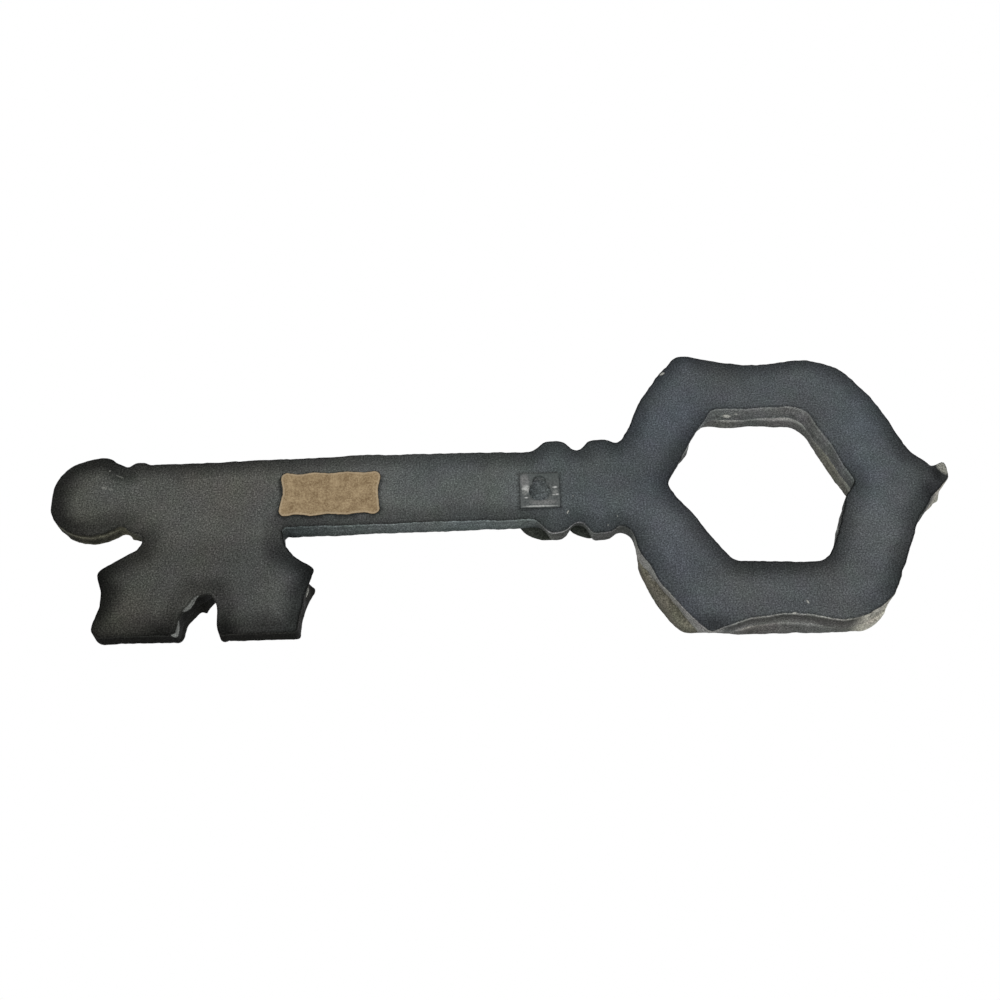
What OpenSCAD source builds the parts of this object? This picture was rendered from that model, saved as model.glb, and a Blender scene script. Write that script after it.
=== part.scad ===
// Oversized skeleton key, a flat wall sign that hangs level with its bit pointing down.
// A dark painted backing board carries the front relief: the bow's ring, a half-round shaft,
// two beads, a neck ring, an end ball and the bit. A sunk steel hanger plate takes the nail.
//
// Frame: +Z up as it hangs, +X along the shaft towards the bit, and the front faces -Y.
// The flat back is the plane y = 0. The origin is the hanging nail's seat, in that plane.
// Outlines are drawn as [x, height above the key's axis, corner radius], anticlockwise.

/* [Thickness] */
// Thickness of the backing board
board_t = 9; // [8.5:0.5:14]
// Thickness of the bow's ring and of the bit on the front
relief_t = 10; // [8:0.5:14]
// Height of the raised step on the ring and the bit, part of that thickness
step_h = 1.5; // [0.5:0.5:4]
// How far the raised step is set in from the edge
step_in = 4; // [2:0.5:6]

/* [Bow] */
// Length of the bow, from its root at the collars to its point
bow_len = 153.6; // [140:0.2:175]
// Height of the bow, from its lowest corner to its highest
bow_h = 146.6; // [138:0.2:165]
// Width of the six-sided eye
eye_w = 85.7; // [70:0.1:92]
// Height of the eye
eye_h = 82.5; // [66:0.5:88]
// Distance from the bow's root to the eye
eye_at = 24.3; // [20:0.1:30]
// How much smaller the ring's eye is than the board's, on each side
eye_step = 0.8; // [0.2:0.1:2]
// Distance from the second collar's crest to the bow's root
root_gap = 1.7; // [1.2:0.1:3]
// Angle at which the foot of the bow is pared away towards the front
foot_slope = 25; // [10:1:30]

/* [Shaft and collars] */
// Height of the shaft
shaft_h = 35; // [31:0.5:40]
// How much the front's half-round is narrower than the shaft, on each side
shaft_in = 1; // [0.4:0.1:3]
// How far the half-round of the shaft stands off the board
shaft_rise = 8; // [6:0.5:11]
// Height of the two collars
collar_h = 48; // [44:0.5:56]
// How far the collars sit below the axis of the shaft
collar_down = 0.7; // [0:0.1:2]
// Width of a collar's flat crest
collar_w = 7.6; // [5:0.1:10]
// Distance between the two collars
collar_pitch = 20; // [18:0.5:24]
// Distance from the nail's seat to the first collar
collar_at = 7.5; // [5:0.5:10]
// Distance over which the first collar falls to the shaft
collar_fall = 6.2; // [5:0.1:8]
// Height of the waist between the collars
waist_h = 32.6; // [29:0.2:35]
// Width of a bead on the front of a collar
bead_w = 20.6; // [16:0.2:21.2]
// Distance between the two beads
bead_pitch = 21.6; // [21.6:0.2:26]
// How far the beads sit towards the bit, off the first collar's middle
bead_shift = 7; // [3:0.5:9]
// How far a bead stands off the board
bead_rise = 11; // [9:0.5:14]

/* [Ball and neck ring] */
// Distance from the nail's seat to the middle of the ball
ball_at = 200.7; // [196:0.1:215]
// Diameter of the ball
ball_d = 40.8; // [38:0.2:46]
// How much the ball's dome is smaller than the board, all round
ball_in = 1.6; // [0.6:0.1:3]
// How far the ball's dome stands off the board
ball_rise = 10; // [8:0.5:13]
// Distance between the ball's middle and the neck ring's
ring_to_ball = 18.4; // [17.5:0.1:20]
// Height of the neck ring
ring_h = 37.6; // [36:0.2:40]
// Width of the neck ring
ring_w = 6.4; // [5:0.1:8]
// How far the neck ring stands off the board
ring_rise = 9.5; // [9:0.5:12]
// Height of the narrow neck beside the ball
neck_h = 30.6; // [27:0.2:33]
// Distance from the neck ring to the narrowest place of the neck
neck_off = 2.9; // [2:0.1:4]

/* [Bit] */
// Distance from the nail's seat to the middle of the bit
bit_at = 148.5; // [144:0.1:152]
// Width of the bit, over its two shoulders
bit_w = 96; // [80:1:104]
// How far the bit reaches below the shaft
bit_drop = 52; // [44:0.5:62]
// How much the front of the bit is smaller than the board, along its sides
bit_in = 1; // [0.5:0.1:3]
// How much shorter the front of the bit is at its foot
foot_in = 4.5; // [2:0.5:8]

/* [Hanger] */
// Width of the hanger plate
plate_w = 17.4; // [16.5:0.1:20]
// Height of the hanger plate
plate_h = 17.6; // [16.5:0.1:20]
// Distance from the nail's seat up to the plate's top edge
plate_top = 3.6; // [3.4:0.1:4.5]
// Thickness of the hanger plate
plate_t = 1; // [0.8:0.1:1.5]
// How far the plate's face is sunk below the back
plate_sunk = 1; // [0.9:0.1:1.4]
// Diameter of the keyhole's round entry
entry_d = 10; // [9:0.1:11]
// Width of the keyhole's slot
slot_w = 6.2; // [4:0.1:6.4]
// Distance from the entry's middle up to the nail's seat
lift = 5.3; // [5:0.1:6]
// Depth of the room for the nail's head behind the plate
head_room = 4.8; // [4.4:0.1:5]
// How much wider than the entry that room is, on each side
head_gap = 0.3; // [0.1:0.1:0.6]
// Diameter of a hanger nail's head
nail_head_d = 2.6; // [2.2:0.1:2.8]
// Thickness of a hanger nail's head
nail_head_t = 0.7; // [0.5:0.1:0.8]
// Diameter of a hanger nail's shank
nail_d = 1.2; // [0.9:0.1:1.6]
// Length of a hanger nail under its head
nail_len = 6.5; // [5:0.5:6.5]
// Distance between the two hanger nails
nail_pitch = 14; // [13.8:0.1:14.2]
// Distance of the hanger nails below the entry's middle
nail_down = 0.8; // [0:0.1:2]

/* [Panel pins] */
// Diameter of a panel pin's shank
pin_d = 1.4; // [1:0.1:2]
// Diameter of a panel pin's head
pin_head_d = 2.8; // [2.2:0.1:3.6]
// Thickness of a panel pin's head
pin_head_t = 0.8; // [0.5:0.1:1.2]
// How far a panel pin's head is punched below the back
pin_sunk = 0.3; // [0.1:0.1:1]
// How far a panel pin reaches into the front pieces
pin_bite = 4.5; // [3:0.5:5]
// Distance from the eye's edge to the pins of the bow
bow_pin_in = 11; // [8:0.5:13]
// Distance of the beads' pins above and below the axis
bead_pin_v = 14.5; // [12:0.5:16]
// Distance from the label to the middle pin of the shaft
mid_pin_off = 14; // [10:0.5:20]
// Distance from the neck ring to the last pin of the shaft
end_pin_off = 12; // [8:0.5:18]

/* [Label] */
// Length of the paper label, before its corners are rounded
label_w = 46.4; // [36:0.1:50]
// Height of the paper label, before its corners are rounded
label_h = 23.4; // [16:0.1:25]
// Thickness of the paper label
label_t = 0.3; // [0.2:0.05:0.6]
// Depth of the scallops in the label's long edges
scallop = 1.2; // [0.4:0.1:1.6]
// How far the label's ends are drawn in at their middle
label_end_in = 1.6; // [0.4:0.1:2]
// Radius of the label's corners
label_r = 3.2; // [2:0.1:4]
// Distance from the nail's seat to the middle of the label
label_at = 95.1; // [80:0.1:104]
// Distance of the label's middle below the key's axis
label_down = 1.1; // [0:0.1:2]
// How far the label's face is sunk below the back
label_sunk = 0.1; // [0.05:0.05:0.3]

/* [Fits] */
// Height of the key's axis below the nail's seat
axis_drop = 2.5; // [1.5:0.1:3.5]
// Gap between front pieces that lie edge to edge
edge_gap = 0.4; // [0.2:0.1:1]
// Gap round the hanger plate in its recess
plate_gap = 0.2; // [0.1:0.05:0.4]
// Gap round the label in its recess
label_gap = 0.3; // [0.1:0.1:0.6]
// Gap all round a pin or nail in its hole
pin_gap = 0.02; // [0.01:0.01:0.1]

/* [Hidden] */

// Degrees of a rounded corner that one short side of the outline covers
arc_step = 9;
// Small overrun, so that a cut comes out clean
over = 0.1;
// Radii of the collars: at their crests, at the waist, and where the first meets the shaft
crest_r = 5;
waist_r = 4.5;
fall_r = 7;
// Radius at the neck ring's edges, and the length over which they rise
ring_r = 3;
ring_slope = 1;
// Radius at the narrowest place of the neck
neck_r = 4;
// Corner radii of the beads and of the neck ring, seen from the front
bead_corner = 7.5;
ring_corner = 2;
// How many times as wide as the bead its arch is, which leaves the bead an upright edge
arch_spread = 1.3;
// Number of scallops along the label, and their radius
waves = 3;
wave_r = 8;

half_shaft = shaft_h / 2;
half_waist = waist_h / 2;
half_collar = collar_h / 2;
half_ring = ring_h / 2;
half_neck = neck_h / 2;
half_bit = bit_w / 2;

// Places along the key, from the nail's seat
collar_1_x = -collar_at;
collar_2_x = collar_1_x - collar_pitch;
bead_1_x = collar_1_x + bead_shift;
bead_2_x = bead_1_x - bead_pitch;
bow_x = collar_2_x - collar_w / 2 - root_gap;
bow_ring_x = min(bow_x, bead_2_x - bead_w / 2 - edge_gap);
ring_x = ball_at - ring_to_ball;
shaft_x1 = bead_1_x + bead_w / 2 + edge_gap;
shaft_x2 = ring_x - ring_w / 2 - edge_gap;

// The outlines of the bow and the bit are drawn at these sizes and then stretched
drawn_bow_len = 153.6;
drawn_bow_h = 146.6;
drawn_bit_half = 48.2;
drawn_bit_drop = 52.3;
drawn_eye_w = 85.7;
drawn_eye_h = 82.5;

// The bow's lower edge, as [distance from its root, height, radius], from its point inwards
bow_low = [
    [153.6, 0.3, 2.5], [132.5, -24.7, 30], [119.5, -59.8, 14], [110, -70, 12],
    [71, -67.2, 60], [37, -76.1, 4], [9.5, -35, 12], [6, -23.4, 5], [2, -21.2, 3.5]
];
// The bow's upper edge, from its root out to the point
bow_high = [
    [2.6, 20.4, 3.5], [6.3, 21.8, 5], [15.5, 43.5, 40], [35.2, 69.9, 7], [69, 61, 60],
    [95, 64.6, 25], [110.5, 58.8, 18], [122.2, 44, 14], [130.5, 27, 20], [137.1, 11, 22]
];
// The ring on the front differs from the board in its straight foot
ring_low = [
    [152.2, 0.3, 2.5], [131.5, -25, 30], [119, -58, 10], [113, -68.8, 8], [27.5, -68, 5],
    [18.5, -55.5, 25], [10.3, -36, 10], [9.6, -20, 5], [5, -15.5, 4], [0, -15.5, 1]
];
ring_high = [
    [0, 16, 1], [5, 16, 4], [14.8, 41, 40], [35, 67.5, 8], [69, 59.5, 60],
    [94.5, 63, 25], [109.5, 57.2, 18], [121.3, 43, 14], [129.6, 26, 20], [136.4, 10.5, 22]
];
// The eye's edge, as [distance from its near corner, height, radius]
eye_corners = [
    [0, -1.2, 6], [24.2, 38.4, 5], [66, 37.8, 11], [85.7, -3.2, 4],
    [79.9, -10.6, 5], [69.5, -43.2, 9], [26.1, -42.2, 8]
];
// The bit's edge, as [distance from its middle, drop below the shaft, radius], round the foot
bit_edge = [
    [-31.7, 0, 2.5], [-35, 14, 14], [-48.2, 22, 2], [-43.9, 35.5, 20], [-41, 52.2, 1.5],
    [-8.3, 52.3, 1.5], [-6.5, 38, 9], [1.5, 31, 7], [10.1, 42.5, 10], [11.1, 52.3, 1.5],
    [48.2, 51.8, 4], [44.7, 32.5, 20], [47.8, 21.5, 3], [31.8, 10, 12], [29.3, 3, 2]
];

bow_kx = bow_len / drawn_bow_len;
bow_kv = bow_h / drawn_bow_h;
bit_kx = half_bit / drawn_bit_half;
bit_kv = bit_drop / drawn_bit_drop;
eye_kx = eye_w / drawn_eye_w;
eye_kv = eye_h / drawn_eye_h;

function unit(v) = v / norm(v);
function flat(p) = [p[0], p[1]];
function left_of(v) = [-v[1], v[0]];
function side(a, b) = a[0] * b[1] - a[1] * b[0];
function reversed(list) = [for (i = [len(list) - 1 : -1 : 0]) list[i]];

// Rounds the corner b between a and c with an arc of radius r
function corner_arc(a, b, c, r) =
    let (
        to_a = unit(a - b),
        to_c = unit(c - b),
        half = acos(to_a * to_c) / 2,
        reach = min(r / tan(half), 0.49 * norm(a - b), 0.49 * norm(c - b)),
        true_r = reach * tan(half),
        mid = b + unit(to_a + to_c) * true_r / sin(half),
        from = b + to_a * reach - mid,
        sweep = sign(side(-to_a, to_c)) * (180 - 2 * half),
        steps = max(1, ceil(abs(sweep) / arc_step))
    )
    [for (i = [0 : steps])
        let (t = sweep * i / steps)
        mid + [from[0] * cos(t) - from[1] * sin(t), from[0] * sin(t) + from[1] * cos(t)]];

// Rounds every corner of an outline of [x, height, radius]
function rounded(pts) =
    let (n = len(pts))
    [for (i = [0 : n - 1])
        each corner_arc(
            flat(pts[(i + n - 1) % n]), flat(pts[i]), flat(pts[(i + 1) % n]), max(pts[i][2], 0.3)
        )];

// Moves an anticlockwise outline inwards by d, or outwards where d is below 0
function moved(pts, d) =
    let (n = len(pts))
    [for (i = [0 : n - 1])
        let (
            here = flat(pts[i]),
            in_dir = unit(here - flat(pts[(i + n - 1) % n])),
            out_dir = unit(flat(pts[(i + 1) % n]) - here),
            n1 = left_of(in_dir),
            n2 = left_of(out_dir),
            place = here + (n1 + n2) * d / (1 + n1 * n2),
            turn = sign(side(in_dir, out_dir))
        )
        [place[0], place[1], max(pts[i][2] - turn * d, 0.3)]];

function on_bow(pts, root) =
    [for (p = pts) [root - p[0] * bow_kx, p[1] * bow_kv, p[2]]];

function on_bit(pts) =
    [for (p = pts) [bit_at + p[0] * bit_kx, -half_shaft - p[1] * bit_kv, p[2]]];

// The collars' edge from the bow towards the shaft, above (s = 1) or below (s = -1) the axis
function collars(s) =
    let (crest = s * half_collar - collar_down, waist = s * half_waist - collar_down)
    [
        [collar_2_x - collar_w / 2, crest, crest_r],
        [collar_2_x + collar_w / 2, crest, crest_r],
        [(collar_1_x + collar_2_x) / 2, waist, waist_r],
        [collar_1_x - collar_w / 2, crest, crest_r],
        [collar_1_x + collar_w / 2, crest, crest_r],
        [collar_1_x + collar_w / 2 + collar_fall, s * half_shaft, fall_r]
    ];

// The neck between the shaft and the ball
ring_x1 = ring_x - ring_w / 2;
ring_x2 = ring_x + ring_w / 2;
neck_x = ring_x2 + neck_off;
neck_low = [
    [ring_x2 - ring_slope, -half_ring, ring_r], [neck_x, -half_neck, neck_r],
    [ball_at, -half_neck, 1]
];
neck_high = [
    [ball_at, half_neck, 1], [neck_x, half_neck, neck_r],
    [ring_x2 - ring_slope, half_ring, ring_r], [ring_x1 + ring_slope, half_ring, ring_r],
    [ring_x1 - ring_slope, half_shaft, 2]
];

board_outline = concat(
    on_bow(bow_low, bow_x), collars(-1), on_bit(bit_edge), neck_low, neck_high,
    reversed(collars(1)), on_bow(bow_high, bow_x)
);
eye_outline = [
    for (p = eye_corners) [bow_x - eye_at - p[0] * eye_kx, p[1] * eye_kv, p[2]]
];
ring_outline = concat(on_bow(ring_low, bow_ring_x), on_bow(ring_high, bow_ring_x));
// The front of the bit, once it is moved in, starts just below the half-round of the shaft
block_top = -half_shaft + shaft_in - edge_gap + bit_in;
bit_outline = concat(
    on_bit([for (i = [1 : len(bit_edge) - 2]) bit_edge[i]]),
    [
        [bit_at + bit_edge[len(bit_edge) - 1][0] * bit_kx, block_top, 1],
        [bit_at + bit_edge[0][0] * bit_kx, block_top, 1]
    ]
);

// Depths from the back, measured into the board
relief_y = board_t;
plate_back = plate_sunk + plate_t;
entry_z = -lift;
plate_z = plate_top - plate_h / 2;
head_r = entry_d / 2 + head_gap;

// A pin of the bow stands outside the middle of each long side of the eye
eye_mid = [bow_x - eye_at - eye_w / 2, 0];
eye_sides = [[0, 1], [1, 2], [2, 3], [4, 5], [5, 6], [6, 0]];
bow_pin_places = [
    for (s = eye_sides)
        let (
            a = flat(eye_outline[s[0]]),
            b = flat(eye_outline[s[1]]),
            out = left_of(unit(b - a))
        )
        (a + b) / 2 - out * bow_pin_in
];
shaft_pin_places = [
    [(shaft_x1 + label_at - label_w / 2) / 2, 0],
    [label_at + label_w / 2 + mid_pin_off, 0],
    [ring_x1 - end_pin_off, 0]
];
bead_pin_places = [
    for (x = [bead_1_x, bead_2_x]) for (s = [-1, 1]) [x, s * bead_pin_v]
];
ball_pin_places = [[ball_at, 0], [ring_x, 0]];
// The bit's pins are placed like the points of its edge
bit_pin_spots = [[-22, 12, 0], [22, 12, 0], [-25, 40, 0], [28, 40, 0]];
bit_pin_places = on_bit(bit_pin_spots);

// The label's lower (s = -1) or upper edge, with its scallops
function label_long(s) =
    [for (i = [0 : 2 * waves])
        let (in = i % 2 == 1 ? scallop : 0, r = i % (2 * waves) == 0 ? label_r : wave_r)
        [label_at - label_w / 2 + label_w * i / (2 * waves), s * (label_h / 2 - in) - label_down, r]];

label_outline = concat(
    label_long(-1), [[label_at + label_w / 2 - label_end_in, -label_down, wave_r]],
    reversed(label_long(1)), [[label_at - label_w / 2 + label_end_in, -label_down, wave_r]]
);

// Draws a shape of [x, height] from a depth below the back, thick towards the front
module layer(depth, thick) {
    translate([0, -depth, -axis_drop])
        rotate([90, 0, 0]) linear_extrude(thick) children();
}

// A round rod or hole that runs from a depth below the back towards the front
module rod_at(place, depth, long, dia) {
    translate([place[0], -depth, place[1] - axis_drop])
        rotate([90, 0, 0]) cylinder(h = long, d = dia, $fn = 32);
}

module panel_pins(places) {
    color([0.62, 0.6, 0.55])
    for (p = places) {
        rod_at(p, pin_sunk, pin_head_t, pin_head_d);
        rod_at(p, pin_sunk + pin_head_t, relief_y + pin_bite - pin_sunk - pin_head_t, pin_d);
    }
}

module pin_holes(places) {
    for (p = places) {
        rod_at(p, -over, over + pin_sunk + pin_head_t, pin_head_d + 2 * pin_gap);
        rod_at(p, pin_sunk, relief_y + pin_bite - pin_sunk + pin_gap, pin_d + 2 * pin_gap);
    }
}

// A long bar along X with a circular arch for its section, flat side on the board
module arch_bar(x1, x2, width, rise) {
    arch_r = (width * width / 4 + rise * rise) / (2 * rise);
    translate([x1, -relief_y, -axis_drop])
        rotate([90, 0, 90]) linear_extrude(x2 - x1)
            intersection() {
                translate([arch_r - rise, 0]) circle(r = arch_r, $fn = 96);
                translate([-rise - 1, -width / 2]) square([rise + 1, width]);
            }
}

// The same arch turned, so that it curves along X and keeps one section up the key
module arch_across(x, width, high, rise) {
    arch_r = (width * width / 4 + rise * rise) / (2 * rise);
    translate([x, -relief_y, -axis_drop - high / 2])
        linear_extrude(high)
            intersection() {
                translate([0, arch_r - rise]) circle(r = arch_r, $fn = 96);
                translate([-width / 2, -rise - 1]) square([width, rise + 1]);
            }
}

// A fat bead: arched both ways, with round corners where it meets the board
module bead(x, width, high, rise, corner) {
    plan = [
        [x - width / 2, -high / 2, corner], [x + width / 2, -high / 2, corner],
        [x + width / 2, high / 2, corner], [x - width / 2, high / 2, corner]
    ];
    intersection() {
        arch_bar(x - width, x + width, high, rise);
        arch_across(x, width * arch_spread, high, rise);
        layer(relief_y, rise + 1) polygon(rounded(plan));
    }
}

// The rounded slot that a nail's head or shank travels up, drawn from the entry to the seat
module travel(r) {
    hull_w = 2 * r;
    translate([0, entry_z + axis_drop]) circle(r = r, $fn = 64);
    translate([0, axis_drop]) circle(r = r, $fn = 64);
    translate([-r, entry_z + axis_drop]) square([hull_w, lift]);
}

module hanger_pocket() {
    recess_w = plate_w + 2 * plate_gap;
    recess_h = plate_h + 2 * plate_gap;
    translate([-recess_w / 2, -plate_back, plate_z - recess_h / 2])
        cube([recess_w, plate_back + over, recess_h]);
    layer(plate_back - over, over + head_room) travel(head_r);
}

module hanger_nail_places() {
    for (s = [-1, 1]) translate([s * nail_pitch / 2, -plate_sunk, entry_z - nail_down]) children();
}

// Takes away what lies under the sloping foot of the bow
module foot_cut() {
    foot_v = bow_low[5][1] * bow_kv;
    reach = 2 * board_t;
    translate([bow_x - bow_len, 0, foot_v - axis_drop])
        rotate([-foot_slope, 0, 0]) translate([0, -reach, -board_t]) cube([bow_len, reach, board_t]);
}

module backing_board() {
    color([0.27, 0.29, 0.3])
    difference() {
        layer(0, board_t) union() {
            polygon(rounded(board_outline));
            translate([ball_at, 0]) circle(d = ball_d, $fn = 96);
        }
        layer(-over, board_t + 2 * over) polygon(rounded(eye_outline));
        layer(-over, over + label_sunk + label_t)
            polygon(rounded(moved(label_outline, -label_gap)));
        foot_cut();
        hanger_pocket();
        hanger_nail_places()
            rotate([90, 0, 0]) cylinder(h = nail_len + pin_gap, d = nail_d + 2 * pin_gap, $fn = 32);
        pin_holes(bow_pin_places);
        pin_holes(shaft_pin_places);
        pin_holes(bead_pin_places);
        pin_holes(ball_pin_places);
        pin_holes(bit_pin_places);
    }
}

module bow_ring() {
    ring_eye = moved(reversed(eye_outline), eye_step);
    color([0.55, 0.52, 0.44])
    difference() {
        union() {
            layer(relief_y, relief_t - step_h) polygon(rounded(ring_outline));
            layer(relief_y + relief_t - step_h - over, step_h + over)
                polygon(rounded(moved(ring_outline, step_in)));
        }
        layer(relief_y - over, relief_t + 2 * over) polygon(rounded(ring_eye));
        layer(relief_y + relief_t - step_h, step_h + over)
            polygon(rounded(moved(ring_eye, -step_in)));
        pin_holes(bow_pin_places);
    }
}

module shaft_moulding() {
    color([0.5, 0.48, 0.42])
    difference() {
        arch_bar(shaft_x1, shaft_x2, shaft_h - 2 * shaft_in, shaft_rise);
        pin_holes(shaft_pin_places);
    }
}

module collar_bead(x) {
    color([0.34, 0.34, 0.27])
    difference() {
        bead(x, bead_w, collar_h, bead_rise, bead_corner);
        pin_holes(bead_pin_places);
    }
}

module bead_near_bow() { collar_bead(bead_2_x); }

module bead_near_shaft() { collar_bead(bead_1_x); }

module neck_ring() {
    color([0.42, 0.41, 0.33])
    difference() {
        bead(ring_x, ring_w, ring_h, ring_rise, ring_corner);
        pin_holes(ball_pin_places);
    }
}

module end_ball() {
    dome_r = ball_d / 2 - ball_in;
    ball_r = (dome_r * dome_r + ball_rise * ball_rise) / (2 * ball_rise);
    cut_x = ring_x2 + edge_gap;
    color([0.5, 0.48, 0.4])
    difference() {
        intersection() {
            translate([ball_at, -relief_y - ball_rise + ball_r, -axis_drop])
                sphere(r = ball_r, $fn = 96);
            translate([cut_x, -relief_y - ball_rise - 1, -axis_drop - ball_d])
                cube([2 * ball_d, ball_rise + 1, 2 * ball_d]);
        }
        pin_holes(ball_pin_places);
    }
}

module bit_block() {
    plan = moved(bit_outline, bit_in);
    foot_v = -half_shaft - bit_drop + foot_in;
    color([0.4, 0.39, 0.34])
    difference() {
        union() {
            layer(relief_y, relief_t - step_h) polygon(rounded(plan));
            layer(relief_y + relief_t - step_h - over, step_h + over)
                polygon(rounded(moved(plan, step_in)));
        }
        layer(relief_y - over, relief_t + 2 * over)
            translate([bit_at - bit_w, foot_v - bit_drop]) square([2 * bit_w, bit_drop]);
        pin_holes(bit_pin_places);
    }
}

module hanger_plate() {
    color([0.66, 0.67, 0.66])
    difference() {
        translate([-plate_w / 2, -plate_back, plate_z - plate_h / 2])
            cube([plate_w, plate_t, plate_h]);
        rod_at([0, entry_z + axis_drop], plate_sunk - over, plate_t + 2 * over, entry_d);
        layer(plate_sunk - over, plate_t + 2 * over) travel(slot_w / 2);
        hanger_nail_places()
            translate([0, over, 0]) rotate([90, 0, 0])
                cylinder(h = plate_t + 2 * over, d = nail_d + 2 * pin_gap, $fn = 32);
    }
}

module hanger_nails() {
    color([0.8, 0.8, 0.78])
    hanger_nail_places() {
        translate([0, nail_head_t, 0]) rotate([90, 0, 0])
            cylinder(h = nail_head_t, d = nail_head_d, $fn = 32);
        rotate([90, 0, 0]) cylinder(h = nail_len, d = nail_d, $fn = 32);
    }
}

module paper_label() {
    color([0.78, 0.66, 0.48])
    layer(label_sunk, label_t) polygon(rounded(label_outline));
}

module bow_pins() { panel_pins(bow_pin_places); }

module shaft_pins() { panel_pins(shaft_pin_places); }

module bead_pins() { panel_pins(bead_pin_places); }

module ball_pins() { panel_pins(ball_pin_places); }

module bit_pins() { panel_pins(bit_pin_places); }

backing_board();
bow_ring();
shaft_moulding();
bead_near_bow();
bead_near_shaft();
neck_ring();
end_ball();
bit_block();
hanger_plate();
hanger_nails();
paper_label();
bow_pins();
shaft_pins();
bead_pins();
ball_pins();
bit_pins();
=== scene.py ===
import math

import bmesh
import bpy
import numpy as np
from mathutils import Matrix, Vector, noise
from mathutils.geometry import delaunay_2d_cdt
from mathutils.kdtree import KDTree


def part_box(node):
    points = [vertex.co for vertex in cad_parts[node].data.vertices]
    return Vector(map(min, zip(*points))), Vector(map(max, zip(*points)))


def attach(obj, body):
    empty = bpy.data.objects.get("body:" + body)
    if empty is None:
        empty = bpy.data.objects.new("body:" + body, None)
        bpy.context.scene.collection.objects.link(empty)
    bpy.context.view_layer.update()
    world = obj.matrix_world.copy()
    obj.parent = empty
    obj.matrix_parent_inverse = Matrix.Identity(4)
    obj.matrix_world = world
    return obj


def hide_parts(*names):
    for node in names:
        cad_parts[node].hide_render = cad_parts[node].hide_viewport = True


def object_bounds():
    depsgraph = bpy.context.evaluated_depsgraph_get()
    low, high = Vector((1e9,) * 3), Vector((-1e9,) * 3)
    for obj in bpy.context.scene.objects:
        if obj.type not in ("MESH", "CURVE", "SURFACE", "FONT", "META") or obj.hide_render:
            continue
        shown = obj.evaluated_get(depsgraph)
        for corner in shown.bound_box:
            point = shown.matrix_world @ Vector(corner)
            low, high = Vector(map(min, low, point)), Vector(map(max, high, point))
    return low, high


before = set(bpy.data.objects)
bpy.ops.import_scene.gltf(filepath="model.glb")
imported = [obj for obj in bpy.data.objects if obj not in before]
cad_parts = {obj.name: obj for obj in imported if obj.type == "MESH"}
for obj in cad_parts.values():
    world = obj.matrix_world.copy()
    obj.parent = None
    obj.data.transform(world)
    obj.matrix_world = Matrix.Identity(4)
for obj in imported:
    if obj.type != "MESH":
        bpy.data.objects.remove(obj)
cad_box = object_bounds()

MM = 0.001
X, Y, Z = range(3)

# Camera
CAMERA_AT = Vector((0.018088, 0.585775, -0.347844))
CAMERA_ELEVATION = math.radians(-30.0)
CAMERA_ROLL = math.radians(-1.6)
LENS_MM = 54.0
SENSOR_MM = 36.0

# Floor, and the light that comes from all sides
FLOOR_Z = -1.4
FLOOR_SIZE = 30.0
FLOOR_TONE = 0.9
AMBIENT = 0.62
# Lamps: name, place, size and power
LAMPS = [("back_soft", (0.25, 1.05, -0.8), 1.3, 10.5), ("front_soft", (-0.4, -1.3, 0.3), 1.3, 12.0)]

# Planes of the flat pieces, as y in mm: 0 is the back, and the front is negative
BOARD_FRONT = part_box("bow_ring")[1].y / MM
PLATE_SEAT, PLATE_BACK = (corner.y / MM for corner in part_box("hanger_plate"))
LABEL_SEAT, LABEL_BACK = (corner.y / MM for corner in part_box("paper_label"))
POCKET_FLOOR = -6.8
# Height of the raised step on the front of the ring and the bit
STEP = 1.5
# The board's lowest edge is shaved at a slope, from this height at the back upwards to the front
FOOT_Z = -78.1
FOOT_SLOPE = math.tan(math.radians(25.0))
# How far the faces of the plate and the label lie below the back
PLATE_FACE = -0.07
LABEL_FACE = -0.05
# The nails' heads lie above this depth, and are lifted
HEAD_DEPTH = -1.5
HEAD_LIFT = 0.2

# Meshing: an outline's short edges, and the lattice of points inside a flat cap, with the shares
# of its pitch that part its rows and keep it clear of the rim
EDGE_STEP = 0.8
LATTICE = 1.7
LATTICE_ROW = 0.866
LATTICE_MARGIN = 0.6
ARRIS_STEPS = 4
WALL_STEPS = 12
SHADE_ANGLE = math.radians(40.0)
# How near to a plane a face counts as in it, the steps that tell its corners apart, and an area in
# square mm above that of any pin's hole
IN_PLANE = 0.002
SPOTS_PER_MM = 1000
PIN_HOLE = 8.0
# Points of a cap that are nearer than this count as one
SAME_PLACE = 1e-7
# Step through the noise from one seed to the next, and what spreads it to about -1 to 1
SEED_STEP = np.array([17.3, -5.1, 3.7])
NOISE_SPREAD = 1.6


def srgb(colour):
    """Linear values of a colour that is written as it shows, from 0 to 255."""
    c = np.asarray(colour, float) / 255.0
    return np.where(c <= 0.04045, c / 12.92, ((c + 0.055) / 1.055) ** 2.4)


def ramp(value, start, full):
    """Share that is 0 up to the start and 1 from full on. Full may be the lower number."""
    share = np.clip((np.asarray(value, float) - start) / (full - start), 0.0, 1.0)
    return share * share * (3.0 - 2.0 * share)


def field(points, size, seed):
    """Smooth noise from about -1 to 1 at points in mm; size is that of its patches in mm."""
    places = [Vector(p) for p in points / size + seed * SEED_STEP]
    values = [noise.noise(p) + noise.noise(p * 2.0) * 0.5 for p in places]
    return np.array(values) / 1.5 * NOISE_SPREAD


# Outlines
def signed_area(loop):
    x, z = loop.T
    return 0.5 * np.sum(x * np.roll(z, -1) - np.roll(x, -1) * z)


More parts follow.
